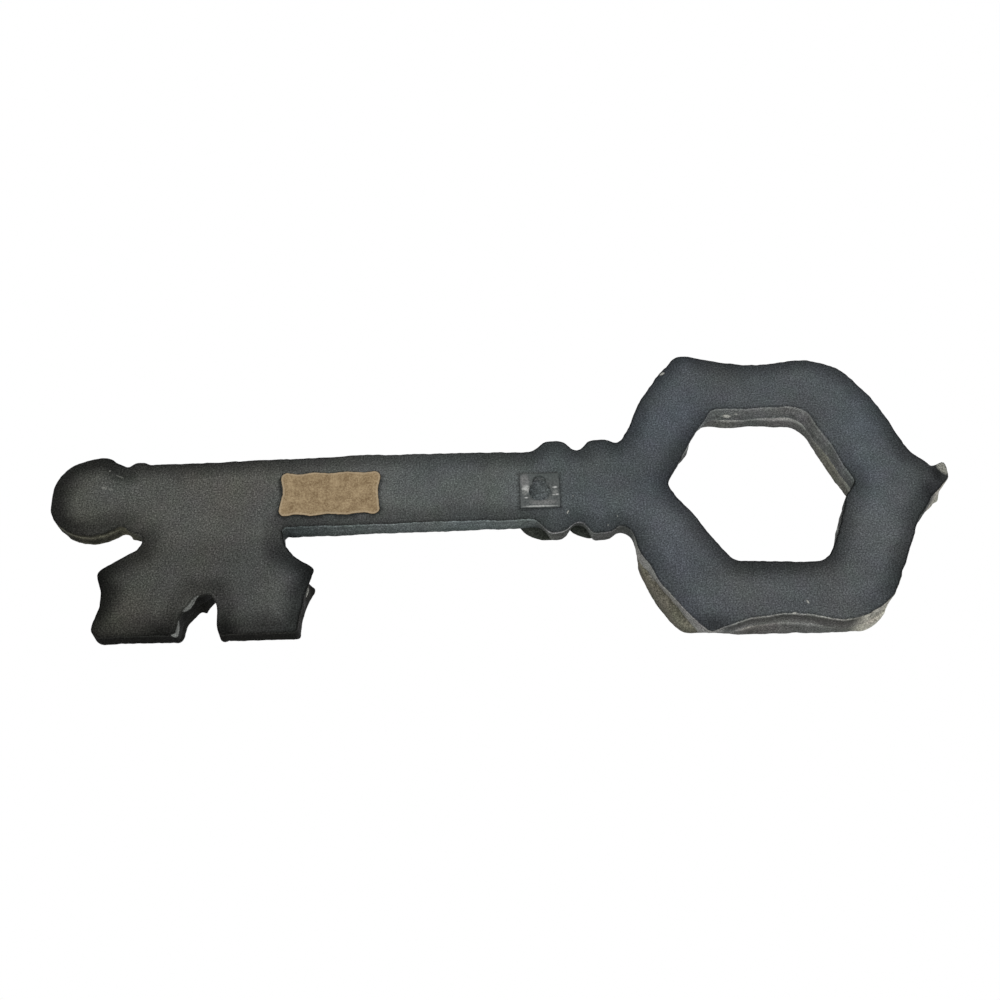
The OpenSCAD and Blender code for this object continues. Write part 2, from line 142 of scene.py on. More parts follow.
def flat_rim(mesh, y_mm):
    """The rim of a mesh's faces in the plane y: which spot follows which, and each spot's (x, z)."""
    spots, places, edges = {}, [], set()

    def spot(index):
        co = mesh.vertices[index].co
        key = (round(co.x / MM * SPOTS_PER_MM), round(co.z / MM * SPOTS_PER_MM))
        if key not in spots:
            spots[key] = len(places)
            places.append((co.x / MM, co.z / MM))
        return spots[key]

    for face in mesh.polygons:
        if all(abs(mesh.vertices[i].co.y / MM - y_mm) < IN_PLANE for i in face.vertices):
            ring = [spot(i) for i in face.vertices]
            edges.update(zip(ring, ring[1:] + ring[:1]))
    return {a: b for a, b in edges if (b, a) not in edges}, places


def plane_loops(node, y_mm):
    """Outlines of a node's faces in the plane y, as (x, z) in mm: outside first, no pins' holes."""
    after, places = flat_rim(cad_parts[node].data, y_mm)
    loops = []
    while after:
        start, here = after.popitem()
        loop = [start]
        while here != start:
            loop.append(here)
            here = after.pop(here)
        loops.append(np.array([places[i] for i in loop]))
    loops = [loop for loop in loops if abs(signed_area(loop)) > PIN_HOLE]
    loops.sort(key=lambda loop: -abs(signed_area(loop)))
    return [loop if (signed_area(loop) > 0) == (k == 0) else loop[::-1] for k, loop in enumerate(loops)]


def resampled(loop, step=EDGE_STEP):
    """An outline cut into edges of about one length."""
    closed = np.vstack([loop, loop[:1]])
    along = np.concatenate([[0], np.cumsum(np.linalg.norm(np.diff(closed, axis=0), axis=1))])
    at = np.arange(max(12, round(along[-1] / step)))
    at = at / len(at) * along[-1]
    return np.stack([np.interp(at, along, closed[:, k]) for k in (0, 1)], 1)


def eased(loop):
    """Rounds the corners of an outline a little."""
    for _ in range(2):
        loop = loop * 0.5 + (np.roll(loop, 1, 0) + np.roll(loop, -1, 0)) * 0.25
    return loop


def outward(loop):
    """Directions across an outline, away from the material."""
    along = np.roll(loop, -1, 0) - np.roll(loop, 1, 0)
    across = np.stack([along[:, 1], -along[:, 0]], 1)
    return across / np.linalg.norm(across, axis=1, keepdims=True)


def round_about(across, up, x, z, reach_x, reach_z):
    """Soft share round a place (x, z), from the points' own x and z."""
    return np.exp(-(((across - x) / reach_x) ** 2 + ((up - z) / reach_z) ** 2))


def dented(loop, dents):
    """Pushes an outline outwards round each (x, z, reach x, reach z, push)."""
    push = np.zeros(len(loop))
    for *place, amount in dents:
        push += amount * round_about(*loop.T, *place)
    return loop + outward(loop) * push[:, None]


def wandering(loop, layers, growth=0.0):
    """Moves an outline outwards by its growth and by layers of noise: (amount, size, seed)."""
    flat = np.column_stack([loop[:, 0], np.zeros(len(loop)), loop[:, 1]])
    push = growth + sum(amount * field(flat, size, seed) for amount, size, seed in layers)
    return loop + outward(loop) * push[:, None]


def sawn(loop, seed, dents, growth):
    """An outline as a hand-guided saw and sandpaper leave it."""
    loop = dented(eased(resampled(loop)), dents)
    return wandering(loop, [(0.3, 14, seed), (0.25, 5, seed + 1), (0.16, 2.2, seed + 2)], growth)


def inside(points, loops):
    """Says which points lie inside the first loop and outside the others."""
    found = np.zeros(len(points), bool)
    for loop in loops:
        for p, q in zip(loop, np.roll(loop, -1, 0)):
            crosses = (p[1] > points[:, 1]) != (q[1] > points[:, 1])
            slope = (q[0] - p[0]) / (q[1] - p[1]) if q[1] != p[1] else 0.0
            found ^= crosses & (points[:, 0] < p[0] + slope * (points[:, 1] - p[1]))
    return found


def tree_of(points):
    tree = KDTree(len(points))
    for i, p in enumerate(points):
        tree.insert((p[0], p[1], 0.0), i)
    tree.balance()
    return tree


def gap_to(tree, x, z):
    return tree.find((x, z, 0.0))[2]


def lattice(loops, pitch):
    """Evenly spread points inside the first loop and outside the others, clear of them all."""
    rim = np.concatenate(loops)
    low, high = rim.min(0), rim.max(0)
    grid = np.array([
        (x, z)
        for row, z in enumerate(np.arange(low[1], high[1], pitch * LATTICE_ROW))
        for x in np.arange(low[0] + row % 2 * pitch / 2, high[0], pitch)
    ])
    grid = grid[inside(grid, loops)]
    tree = tree_of(rim)
    return np.array([p for p in grid if gap_to(tree, *p) > LATTICE_MARGIN * pitch]).reshape(-1, 2)


# Meshes
class Shell:
    """A closed surface made of rings, the bands between them and flat caps, in mm."""

    def __init__(self):
        self.points, self.faces, self.edge = [], [], []

    def ring(self, loop, y, edge=0.0):
        """Adds an outline's points; edge says how much they are a worn edge."""
        first = len(self.points)
        self.points += [(x, y, z) for x, z in loop]
        self.edge += [edge] * len(loop)
        return np.arange(first, first + len(loop))

    def band(self, a, b):
        self.faces += [(a[i - 1], a[i], b[i], b[i - 1]) for i in range(len(a))]

    def wall(self, loop, profile, front=None, edge_at=()):
        """Runs an outline through (inset, y) pairs, up to a front outline if one is given.

        The rings numbered in edge_at are worn edges. Returns the first and the last ring.
        """
        front = loop if front is None else front
        first, last = profile[0][1], profile[-1][1]
        rings = []
        for k, (inset, y) in enumerate(profile):
            here = loop + (front - loop) * ((y - first) / (last - first))
            rings.append(self.ring(here - outward(here) * inset, y, 1.0 if k in edge_at else 0.0))
        for a, b in zip(rings, rings[1:]):
            self.band(a, b)
        return rings[0], rings[-1]

    def cap(self, rings, pitch=LATTICE):
        """Fills the area inside the first ring and outside the others with triangles."""
        loops = [np.array([self.points[i] for i in ring])[:, (X, Z)] for ring in rings]
        y = self.points[rings[0][0]][Y]
        grid = lattice(loops, pitch)
        edges, start = [], 0
        for n in map(len, rings):
            edges += [(start + i, start + (i + 1) % n) for i in range(n)]
            start += n
        places = [Vector(p) for p in np.vstack([*loops, grid])]
        spots, _, faces, origins, _, _ = delaunay_2d_cdt(places, edges, [], 0, SAME_PLACE)
        ids = [*np.concatenate(rings), *self.ring(grid, y)]
        number = [ids[o[0]] if o else self.ring([spot], y)[0] for spot, o in zip(spots, origins)]
        middles = np.array([np.mean([spots[i] for i in face], axis=0) for face in faces])
        kept = inside(middles, loops)
        self.faces += [tuple(number[i] for i in face) for face, keep in zip(faces, kept) if keep]

    def build(self, name):
        mesh = bpy.data.meshes.new(name)
        mesh.from_pydata(np.array(self.points) * MM, [], [tuple(map(int, f)) for f in self.faces])
        clean = bmesh.new()
        clean.from_mesh(mesh)
        bmesh.ops.recalc_face_normals(clean, faces=clean.faces)
        clean.to_mesh(mesh)
        clean.free()
        mesh.shade_smooth()
        mesh.set_sharp_from_angle(angle=SHADE_ANGLE)
        return linked(name, mesh)


def linked(name, data):
    """A new object in the scene, made of a mesh, a lamp or a camera."""
    made = bpy.data.objects.new(name, data)
    bpy.context.scene.collection.objects.link(made)
    return made


def read(piece, name):
    """One of a mesh's vectors, such as co or normal, for each of its points."""
    values = np.empty(len(piece.data.vertices) * 3)
    piece.data.vertices.foreach_get(name, values)
    return values.reshape(-1, 3)


def points_of(piece):
    return read(piece, "co") / MM


def set_points(piece, points):
    """Places a piece's points, kept within the CAD model's box."""
    points = np.clip(points, np.array(cad_box[0]) / MM, np.array(cad_box[1]) / MM)
    piece.data.vertices.foreach_set("co", (points * MM).ravel())
    piece.data.update()


def mark(piece, name, values):
    """Writes a share for each point, which the materials read."""
    data = piece.data.attributes.new(name, "FLOAT", "POINT").data
    data.foreach_set("value", np.asarray(values, float))


def uneven(piece, amount, size, seed):
    """Gives a piece the slight unevenness of hand-shaped wood."""
    points, normals = points_of(piece), read(piece, "normal")
    shift = field(points, size, seed) * 0.7 + field(points, size / 3.5, seed + 1) * 0.3
    set_points(piece, points + normals * (amount * shift)[:, None])


def arris(radius, y, inwards):
    """Profile of a rounded edge that starts on a flat face at y and turns into the wall."""
    turn = [math.pi / 2 * k / ARRIS_STEPS for k in range(ARRIS_STEPS + 1)]
    return [(radius * (1 - math.sin(t)), y + inwards * radius * (1 - math.cos(t))) for t in turn]


def slab_wall(back, front, back_r, front_r):
    """Profile of a wall from its back face to its front face, with both edges rounded."""
    middle = np.linspace(back - back_r, front + front_r, WALL_STEPS)[1:-1]
    return arris(back_r, back, -1) + [(0.0, y) for y in middle] + arris(front_r, front, 1)[::-1]


# Paint: colours and tones are written as they show, from 0 to 255
# The back, the bit's back and the front along the key: (x, colour)
BACK_STOPS = [
    (-186, (82, 85, 86)), (-150, (81, 85, 87)), (-125, (79, 82, 83)), (-85, (78, 81, 82)),
    (-60, (77, 81, 85)), (-30, (74, 79, 81)), (-10, (75, 80, 81)), (20, (78, 82, 81)), (60, (82, 85, 84)),
    (100, (80, 82, 80)), (140, (76, 76, 73)), (200, (72, 73, 69))
]
BIT_STOPS = [(100, (70, 73, 73)), (150, (67, 67, 64)), (200, (64, 64, 59))]
FRONT_STOPS = [(-186, (70, 71, 66)), (0, (72, 74, 69)), (200, (68, 68, 61))]
BLUE_TINT = (0.97, 0.985, 1)

# Zones of the key. Each limit is an axis, the place where the zone starts and where it is full.
BIT = [(Z, -20, -34), (X, 85, 100)]
BLUE_TOP = [(Z, -20, 30), (X, -30, -60)]
DARK_END = [(X, 95, 135)]
UNDER_SHAFT = [(Z, -14, -18), (X, -2, 4), (X, 125, 112)]
UNDER_COLLARS = [(Z, -14, -18), (X, 2, -4), (X, -38, -34)]
BOW_SIDE = [(Z, -26, -34), (X, -80, -74), (X, 20, -30)]
BOW_FOOT = [(Z, -58, -62), (X, -76, -82), (X, -140, -130)]
FAR_BOW_FOOT = BOW_FOOT + [(X, -112, -124), (Y, -5, -7)]
BOW_CORNER = [(Z, -46, -56), (X, -131, -140)]
RING_SIDE = [(Z, -18, -30), (X, -78, -70)]
RING_FOOT = [(Z, -56, -60), (X, -80, -88)]
FAR_RING_FOOT = [(X, -112, -124), (Y, -11.5, -10)]
# Middles, with where the ball's zone starts and is full, the eye's half sizes, the hanger's radius
BALL_MIDDLE, BALL_REACH = (200.7, -2.5), (27, 19)
EYE_MIDDLE, EYE_REACH = (-100, -2), (50, 46)
HANGER_MIDDLE, HANGER_REACH = (0, -4), 14

# Painted shade along the back's edges: (distance from the edge, share of the full tone that is left)
EDGE_SHADE = [
    (0, 0.26), (0.5, 0.46), (1, 0.64), (2, 0.69), (3.6, 0.74), (5.4, 0.82), (7.2, 0.9), (9, 0.97), (11, 1)
]
DARK_END_SHADE = [
    (0, 0.22), (0.5, 0.42), (1, 0.53), (1.8, 0.6), (3.6, 0.7), (5.4, 0.78), (7, 0.87), (9, 0.97), (10, 1)
]
BIT_EDGE_SHADE = [
    (0, 0.2), (0.5, 0.36), (1, 0.44), (3.2, 0.46), (4, 0.53), (5.4, 0.62), (7.2, 0.75), (9, 0.87), (12, 1)
]
BALL_EDGE_SHADE = [(0, 0.24), (0.5, 0.4), (1, 0.44), (3.6, 0.46), (5, 0.54), (7, 0.72), (9, 0.86), (11, 1)]
# Places where the painted edge shade is weaker: x, z, reach in x, reach in z, share taken away
WEAK_SHADE_EDGES = [
    (-108, -74, 44, 14, 1.1), (-50, -56, 18, 16, 0.5), (-68, -76, 14, 12, 0.6), (-104, 40, 36, 11, 1),
    (-132, 20, 14, 22, 0.9), (50, 17, 60, 6, 0.2), (151, -58, 13, 10, 1), (130, -70, 5, 12, 0.3),
    (40, -20, 70, 8, 0.35), (-20, -27, 24, 8, 0.3), (180, -14, 8, 8, 0.6), (150, -20, 10, 8, 0.4),
    (120, -77, 17, 9, 0.5), (184, -77, 17, 11, 0.4), (114, -26, 9, 9, 0.4), (182, -32, 8, 8, 0.35),
    (197, -22, 12, 8, 0.45), (104, -60, 8, 12, 0.3), (189, -11, 6, 6, 0.45), (188, 10.5, 5, 4, 0.3),
    (184, -67.5, 16, 4, 0.4), (112, -36, 8, 8, 0.15)
]
# Lighter, dusty patches on the back and, where the share is negative, darker ones, most of them
# painted shade at the corners of the bit and the bow and under the bow's point: x, z, both reaches, share
DUST_AND_SHADE_PATCHES = [
    (198, -43, 9, 9, -0.3), (200, -58, 6, 14, -0.3), (200, -70, 8, 8, -0.3), (100, -43, 7, 7, -0.3),
    (110, -13, 14, 7, -0.12), (138, -70, 5, 5, -0.4), (165, -71, 5, 5, -0.3), (-51, 0, 16, 16, -0.06),
    (-160, -58, 12, 12, -0.2), (-100, -46, 28, 8, -0.18), (-180.4, -2.2, 2.4, 3.6, -0.45),
    (-175, -10, 4, 6, -0.25), (-72, -74, 8, 5, -0.35), (15, -2, 11, 11, 0.08), (112, -58, 11, 11, 0.08),
    (0, 13, 9, 9, -0.06), (-166, 8, 10, 26, -0.06)
]

# Tones of the walls: (depth below the back, tone), and the tint that they get
WARM = (1, 1, 0.97)
SHAFT_BAND = [(0.6, 110), (1.3, 88), (2.2, 80), (3.5, 84), (6, 77), (9, 64)], (0.96, 1.03, 1.02)
COLLAR_BAND = [(0.6, 66), (2.2, 60), (5, 66), (9, 60)], (1, 1.02, 0.99)
BOW_SIDE_BAND = [(0.6, 124), (1.3, 114), (2, 96), (2.9, 119), (4, 107), (9, 107)], WARM
BOW_FOOT_BAND = [(0.6, 132), (1.4, 88), (2.2, 60), (4.9, 65), (6.7, 82), (9, 102)], WARM
EYE_BAND = [(0.6, 114), (1.3, 98), (2.2, 87), (4, 90), (5.8, 81), (7.4, 78), (9, 93)], (1, 1.02, 1.01)
BALL_BAND = [(0.6, 32), (1.4, 46), (2.5, 88), (3.8, 50), (5.6, 34), (7.5, 46), (9, 74)], (1, 1, 0.87)
RING_BAND = [
    (9.2, 148), (10.8, 148), (12, 100), (12.8, 79), (14, 81), (16, 79), (19, 60)
], (1, 1.01, 0.99)
RING_SIDE_BAND = [(9, 96), (13, 84), (17, 70), (19, 63)], (1, 0.98, 0.87)
RING_FOOT_BAND = [
    (9.2, 118), (10.2, 104), (11.2, 82), (12.5, 74), (14, 75), (16, 79), (17.5, 66), (19, 56)
], WARM
# Along the key: how light the wall under the shaft is, and the tone of the rim under the collars
SHAFT_LIGHT = [(5, 1), (60, 0.98), (95, 0.84), (118, 0.72)]
COLLAR_RIM = [(-34, 92), (-16, 96), (-12, 130), (3, 120)]

# Plain colours of the walls, and of the bare wood at the bow's corner and in chips
BOARD_WALL = (60, 62, 61)
# Walls that face upwards are darker, as painted shade
BOARD_TOP_WALL_SHADE = (30, 31, 31)
COLLAR_SIDE = (82, 84, 81)
FAR_BOW_FOOT_TONE = (70, 71, 68)
BIT_WALL = (20, 20, 19)
BIT_WALL_LINE = (56, 57, 54)
RING_AGED = (92, 93, 84)
FAR_RING_FOOT_TONE = (78, 79, 75)
# Painted shade on the ring's walls that face upwards
RING_TOP_WALL_SHADE = (46, 48, 47)
BLOCK_WALL = (22, 22, 20)
BEAD = (44, 47, 43)
BEAD_FRONT = (34, 36, 32)
BALL_WALL = (64, 65, 54)
CREAM = (151, 149, 139)
BARE_WALL = (150, 152, 148)
# The pocket and the recess round the hanger are painted paler than the back, as painted light against
# their shade
POCKET_PAINTED_LIGHT = (104, 109, 110)
RECESS_PAINTED_LIGHT = (112, 116, 114)
# Local tones of the walls: x, z, reach in x, reach in z, strength, colour
BOARD_SPOTS = [(184, -16, 6.5, 6.5, 1, (74, 72, 61)), (-180.5, -7, 5, 8, 1.5, CREAM)]
RING_SPOTS = [(-180.5, -8.5, 6, 8, 1.6, (138, 137, 128))]
BEAD_SPOTS = [(184, -16, 7, 7, 1, (72, 70, 59))]
# Places of the ring's aged eye wall and of the bare chip at the bit's side: x, z, reaches
AGED_EYE = (-136, 8, 16, 18)
BARE_BIT_SIDE = (106, -46.5, 3, 4)
# No paint is darker than this
DARKEST = 8


def fade(value, stops):
    """The number or colour at a value, from (value, number or colour) stops."""
    at, given = zip(*stops)
    if np.ndim(given) == 1:
        return np.interp(value, at, given)
    return np.stack([np.interp(value, at, channel) for channel in zip(*given)], 1)


def mixed(colour, other, share):
    share = np.asarray(share, float)[:, None]
    return colour * (1 - share) + np.asarray(other, float) * share


def mottled(colour, amount, points, size, seed):
    """Makes a colour lighter and darker by an amount, in patches of a size in mm."""
    return colour * (1 + amount * field(points, size, seed))[:, None]


def plain(points, colour):
    return np.tile(np.array(colour, float), (len(points), 1))


def banded(points, stops, tint):
    """A tinted tone that changes with the depth below the back."""
    return fade(-points[:, Y], stops)[:, None] * np.array(tint)


def zone(points, limits):
    """Soft share of the points that lie past every limit."""
    share = np.ones(len(points))
    for axis, start, full in limits:
        share = share * ramp(points[:, axis], start, full)
    return share


def distance(points, middle):
    """How far points are from a middle (x, z)."""
    return np.hypot(*(points[:, (X, Z)] - middle).T)


def ball_share(points):
    return ramp(distance(points, BALL_MIDDLE), *BALL_REACH)


def eye_share(points):
    gaps = np.abs(points[:, (X, Z)] - EYE_MIDDLE)
    return np.all(gaps < EYE_REACH, axis=1).astype(float)


def near(points, *place):
    """Soft share round a place (x, z, reach x, reach z)."""
    return round_about(points[:, X], points[:, Z], *place)


def spotted(colour, points, spots):
    for *place, strength, other in spots:
        colour = mixed(colour, other, np.clip(strength * near(points, *place), 0, 1))
    return colour


def edge_shade(points, to_edge):
    """Share of the full tone that the painted shade along the edges leaves on the back."""
    reach = to_edge * (1 + 0.25 * field(points, 16, 71))
    left = fade(reach, EDGE_SHADE)
    parts = zone(points, DARK_END), zone(points, BIT), ball_share(points)
    for other, part in zip((DARK_END_SHADE, BIT_EDGE_SHADE, BALL_EDGE_SHADE), parts):
        left = left + (fade(reach, other) - left) * part
    rim = 0.6 + 0.4 * ramp(to_edge, 0.6, 1.4)
    for *place, share in WEAK_SHADE_EDGES:
        weak = np.minimum(share * near(points, *place), 1) * rim
        left = left + (1 - left) * weak
    return left


def back_paint(points, to_edge):
    x = points[:, X]
    colour = mixed(fade(x, BACK_STOPS), fade(x, BIT_STOPS), zone(points, BIT))
    colour = colour * (1 + zone(points, BLUE_TOP)[:, None] * (np.array(BLUE_TINT) - 1))
    # Painted shade towards the edges of the back
    shade = edge_shade(points, to_edge)
    # Dusty patches, and painted shade at the corners and under the bow's point
    for *place, share in DUST_AND_SHADE_PATCHES:
        shade = shade * (1 + share * near(points, *place))
    return colour * shade[:, None]


def shaft_wall(points):
    """The wall under the shaft, darker towards the bit."""
    return banded(points, *SHAFT_BAND) * fade(points[:, X], SHAFT_LIGHT)[:, None]


def collar_wall(points, normals):
    """The wall under the collars, with a light rim at the back."""
    rim = ramp(points[:, Y], -1.5, -0.9)
    tone = mixed(banded(points, *COLLAR_BAND), fade(points[:, X], COLLAR_RIM)[:, None], rim)
    return mixed(tone, COLLAR_SIDE, ramp(normals[:, X], 0.3, 0.6) * (1 - rim))


def corner_wall(points):
    """The pale wall at the bow's corner, with streaks from back to front."""
    streaks = 1 - 0.22 * ramp(field(points * [1, 0.4, 1], 3.0, 63), -0.2, 0.5)
    return np.array(CREAM) * streaks[:, None]


def eye_wall(points):
    """The wall of the eye, a little darker at its far side."""
    return banded(points, *EYE_BAND) * (1 - 0.05 * ramp(points[:, X], -118, -132))[:, None]


def ball_wall(points):
    return mottled(banded(points, *BALL_BAND), 0.25, points * [1, 0.6, 1], 6, 69)


def board_wall_paint(points, normals):
    upwards, bit = normals[:, Z], zone(points, BIT)
    # Painted shade on the walls that face upwards
    colour = mixed(plain(points, BOARD_WALL), BOARD_TOP_WALL_SHADE, ramp(upwards, 0.1, 0.4))
    for wall, part in (
        (shaft_wall(points), UNDER_SHAFT), (collar_wall(points, normals), UNDER_COLLARS),
        (banded(points, *BOW_SIDE_BAND), BOW_SIDE), (banded(points, *BOW_FOOT_BAND), BOW_FOOT)
    ):
        colour = mixed(colour, wall, zone(points, part))
    colour = mixed(colour, FAR_BOW_FOOT_TONE, zone(points, FAR_BOW_FOOT) * 0.8)
    colour = mixed(colour, corner_wall(points), zone(points, BOW_CORNER))
    colour = mixed(colour, eye_wall(points), eye_share(points) * ramp(upwards, 0.1, -0.3))
    colour = mottled(colour, 0.1, points * [1, 6, 1], 12, 61)
    line = np.exp(-((points[:, Y] + 1.1) / 0.5) ** 2)
    colour = mixed(colour, BIT_WALL, bit)
    colour = mixed(colour, BIT_WALL_LINE, bit * line * 0.6)
    colour = mixed(colour, ball_wall(points), ball_share(points))
    return spotted(colour, points, BOARD_SPOTS)


def ring_wall_paint(points, normals):
    eye, corner = eye_share(points), zone(points, BOW_CORNER)
    colour = banded(points, *RING_BAND)
    colour = mixed(colour, RING_AGED, 0.8 * (near(points, *AGED_EYE) * eye))
    colour = mixed(colour, banded(points, *RING_SIDE_BAND), zone(points, RING_SIDE) * (1 - eye))
    foot = mixed(banded(points, *RING_FOOT_BAND), FAR_RING_FOOT_TONE, zone(points, FAR_RING_FOOT) * 0.8)
    colour = mixed(colour, foot, zone(points, RING_FOOT))
    colour = mixed(colour, CREAM, corner)
    # Painted shade on the walls that face upwards
    colour = mixed(colour, RING_TOP_WALL_SHADE, ramp(normals[:, Z], 0.15, 0.45) * (1 - corner))
    colour = mottled(colour, 0.1, points * [1, 5, 1], 14, 67)
    return spotted(colour, points, RING_SPOTS)


def bit_wall_paint(points, normals):
    bare = near(points, *BARE_BIT_SIDE) * ramp(normals[:, Y], 0.5, 0.8)
    return mixed(plain(points, BLOCK_WALL), BARE_WALL, np.clip(3 * bare, 0, 1))


def bead_wall_paint(points, _):
    """The paint of the beads, the ball and the moulding, whichever way they face."""
    x = points[:, X]
    colour = mixed(plain(points, BEAD), BEAD_FRONT, ramp(points[:, Y], -12, -19))
    colour = mixed(colour, BALL_WALL, ramp(x, 186, 190))
    colour = spotted(colour, points, BEAD_SPOTS)
    return mottled(colour, 0.3 * ramp(x, 170, 180), points, 5, 69)


def back_added(colour, points, normals, rim):
    """Adds the back's paint with painted shade on upturned edges, and paler paint as painted light in the
    hanger's recess and pocket.
    """
    facing, upwards = normals[:, Y], normals[:, Z]
    to_edge = np.array([gap_to(rim, x, z) for x, _, z in points])
    # Painted shade: the back's edges are darker where they turn upwards
    turned = ramp(facing, 0.98, 0.75) * ramp(upwards, -0.25, 0.05)
    back = back_paint(points, to_edge) * (1 - 0.45 * turned)[:, None]
    raised = 0.3 * ramp(upwards, -0.3, 0.1)
    colour = mixed(colour, back, ramp(facing + raised, 0.45, 0.75))
    hanger = distance(points, HANGER_MIDDLE) < HANGER_REACH
    # Paler paint as painted light in the pocket and the recess
    pocket = ramp(points[:, Y], -1.5, -2.2) * ramp(facing, 0.3, 0.6)
    recess = ramp(points[:, Y], -0.02, -0.1) * (1 - pocket)
    return mixed(mixed(colour, POCKET_PAINTED_LIGHT, pocket * hanger), RECESS_PAINTED_LIGHT, recess * hanger)


def patchy(colour, points, seed):
    """Slight differences of tone and tint, in patches of several sizes."""
    tone = field(points, 28, seed) * 0.03 + field(points, 7, seed + 3) * 0.045
    tint = field(points, 24, seed + 7)[:, None] * [0.014, 0.0, -0.02]
    tint += field(points, 9, seed + 9)[:, None] * [0.014, -0.008, 0.014]
    return colour * (1 + tone)[:, None] * (1 + tint)


def paint(piece, wall_paint, seed, rim=None):
    """Writes a piece's colours on its points: its walls, its back if a rim is given, its front."""
    points, normals = points_of(piece), read(piece, "normal")
    facing = normals[:, Y]
    colour = wall_paint(points, normals)
    if rim is not None:
        colour = back_added(colour, points, normals, rim)
    colour = mixed(colour, fade(points[:, X], FRONT_STOPS), ramp(facing, -0.5, -0.8))
    colour = srgb(np.clip(patchy(colour, points, seed), DARKEST, 255))
    data = piece.data.attributes.new("paint", "FLOAT_COLOR", "POINT").data
    data.foreach_set("color", np.column_stack([colour, np.ones(len(points))]).ravel())
    mark(piece, "wall", ramp(np.abs(facing), 0.8, 0.6))


# Materials
# Stippled paint: sizes of its grains and its soft blotches in mm, and the swing of the grains'
# tone in powers of two
GRAIN = 0.72
BLOTCH = 3.2
SWING = 1.95
# Small bare chips and specks: centre, half sizes, turn in the plane of the back, share of bare colour
CHIPS = [
    ((-12.2, 0, -16.8), (0.4, 1, 1.2), -25, 0.8), ((-14.9, 0, -8.6), (0.4, 1, 0.4), 0, 0.5),
    ((-34.3, 0, -19.6), (0.35, 1, 0.35), 0, 0.5), ((-29.8, 0, -24.1), (0.35, 1, 0.35), 0, 0.6),
    ((-40.9, 0, -31.5), (0.35, 1, 0.7), 20, 0.5), ((-113.7, 0, -64.6), (0.5, 1, 1.3), 30, 0.75),
    ((-107.6, 0, -69.9), (1.3, 1.5, 0.5), 0, 0.7), ((198, 0, 2.5), (1.6, 1, 1.1), -20, 0.22),
    ((194.8, 0, 1.6), (1.6, 1, 0.6), -20, 0.14), ((196.3, 0, 11.4), (0.45, 1, 0.45), 0, 0.4),
    ((191.5, 0, 8.3), (2.6, 1, 0.4), -25, 0.16), ((-60.2, 0, 56.7), (1.6, 2.5, 0.7), 30, 0.75),
    ((126.7, 0, -11.3), (0.4, 1, 0.4), 0, 0.4), ((-89.2, -5.6, 35.3), (2.5, 1.3, 3), 0, 1),
    ((-93.4, -4.1, 35.3), (1.3, 0.6, 3), 0, 0.5)
]
CHIP_TONE = (186, 186, 178)
# Painted highlights on lit strips of wall in the bit's notch and at its side: centre, half sizes,
# turn, and the share of their size that is full
PAINTED_HIGHLIGHTS = [
    ((153.3, 14, -57.8), (8.2, 18.5, 6), 51, 0.96), ((159, 8, -70), (6.8, 12.6, 3), 82, 0.96),
    ((107.6, -4.5, -76.5), (0.6, 4.6, 4), 0, 0.96)
]
HIGHLIGHT_TONE = (104, 106, 103)
# The broken tip of the bow's point: centre, half sizes, turn, and its dark and light tones
TIP = (-183.6, 0, 0.8), (2.7, 3.6, 5), 35
TIP_DARK = (92, 92, 85)
TIP_LIGHT = (166, 166, 157)
WORN_EDGE_TONE = (150, 149, 140)
# The hanger plate: painted over at one upper corner, with a painted sheen at one side and its foot,
# and bare round one nail, with painted glints on the other nail's head and along its lower lip
PLATE_OVERSPRAY = (-4.5, -1, 6), (13, 3, 8), 0, 0.5
PLATE_SHEEN = [((6.7, -1, 0), (2.6, 3, 4.6)), ((-1.5, -1, -11.3), (8, 3, 1.8))]
PLATE_BARE_AND_GLINTS = [
    ((6.2, -1, -4.2), (2.3, 3, 2.6), 6), ((-6.9, -1, -3.6), (1.5, 3, 0.6)),
    ((-7.2, -1, -7.4), (1.9, 3, 0.6)), ((6.3, -1, -8.8), (1.1, 3, 0.5)), ((0, -0.5, -13.3), (9, 3, 0.5))
]


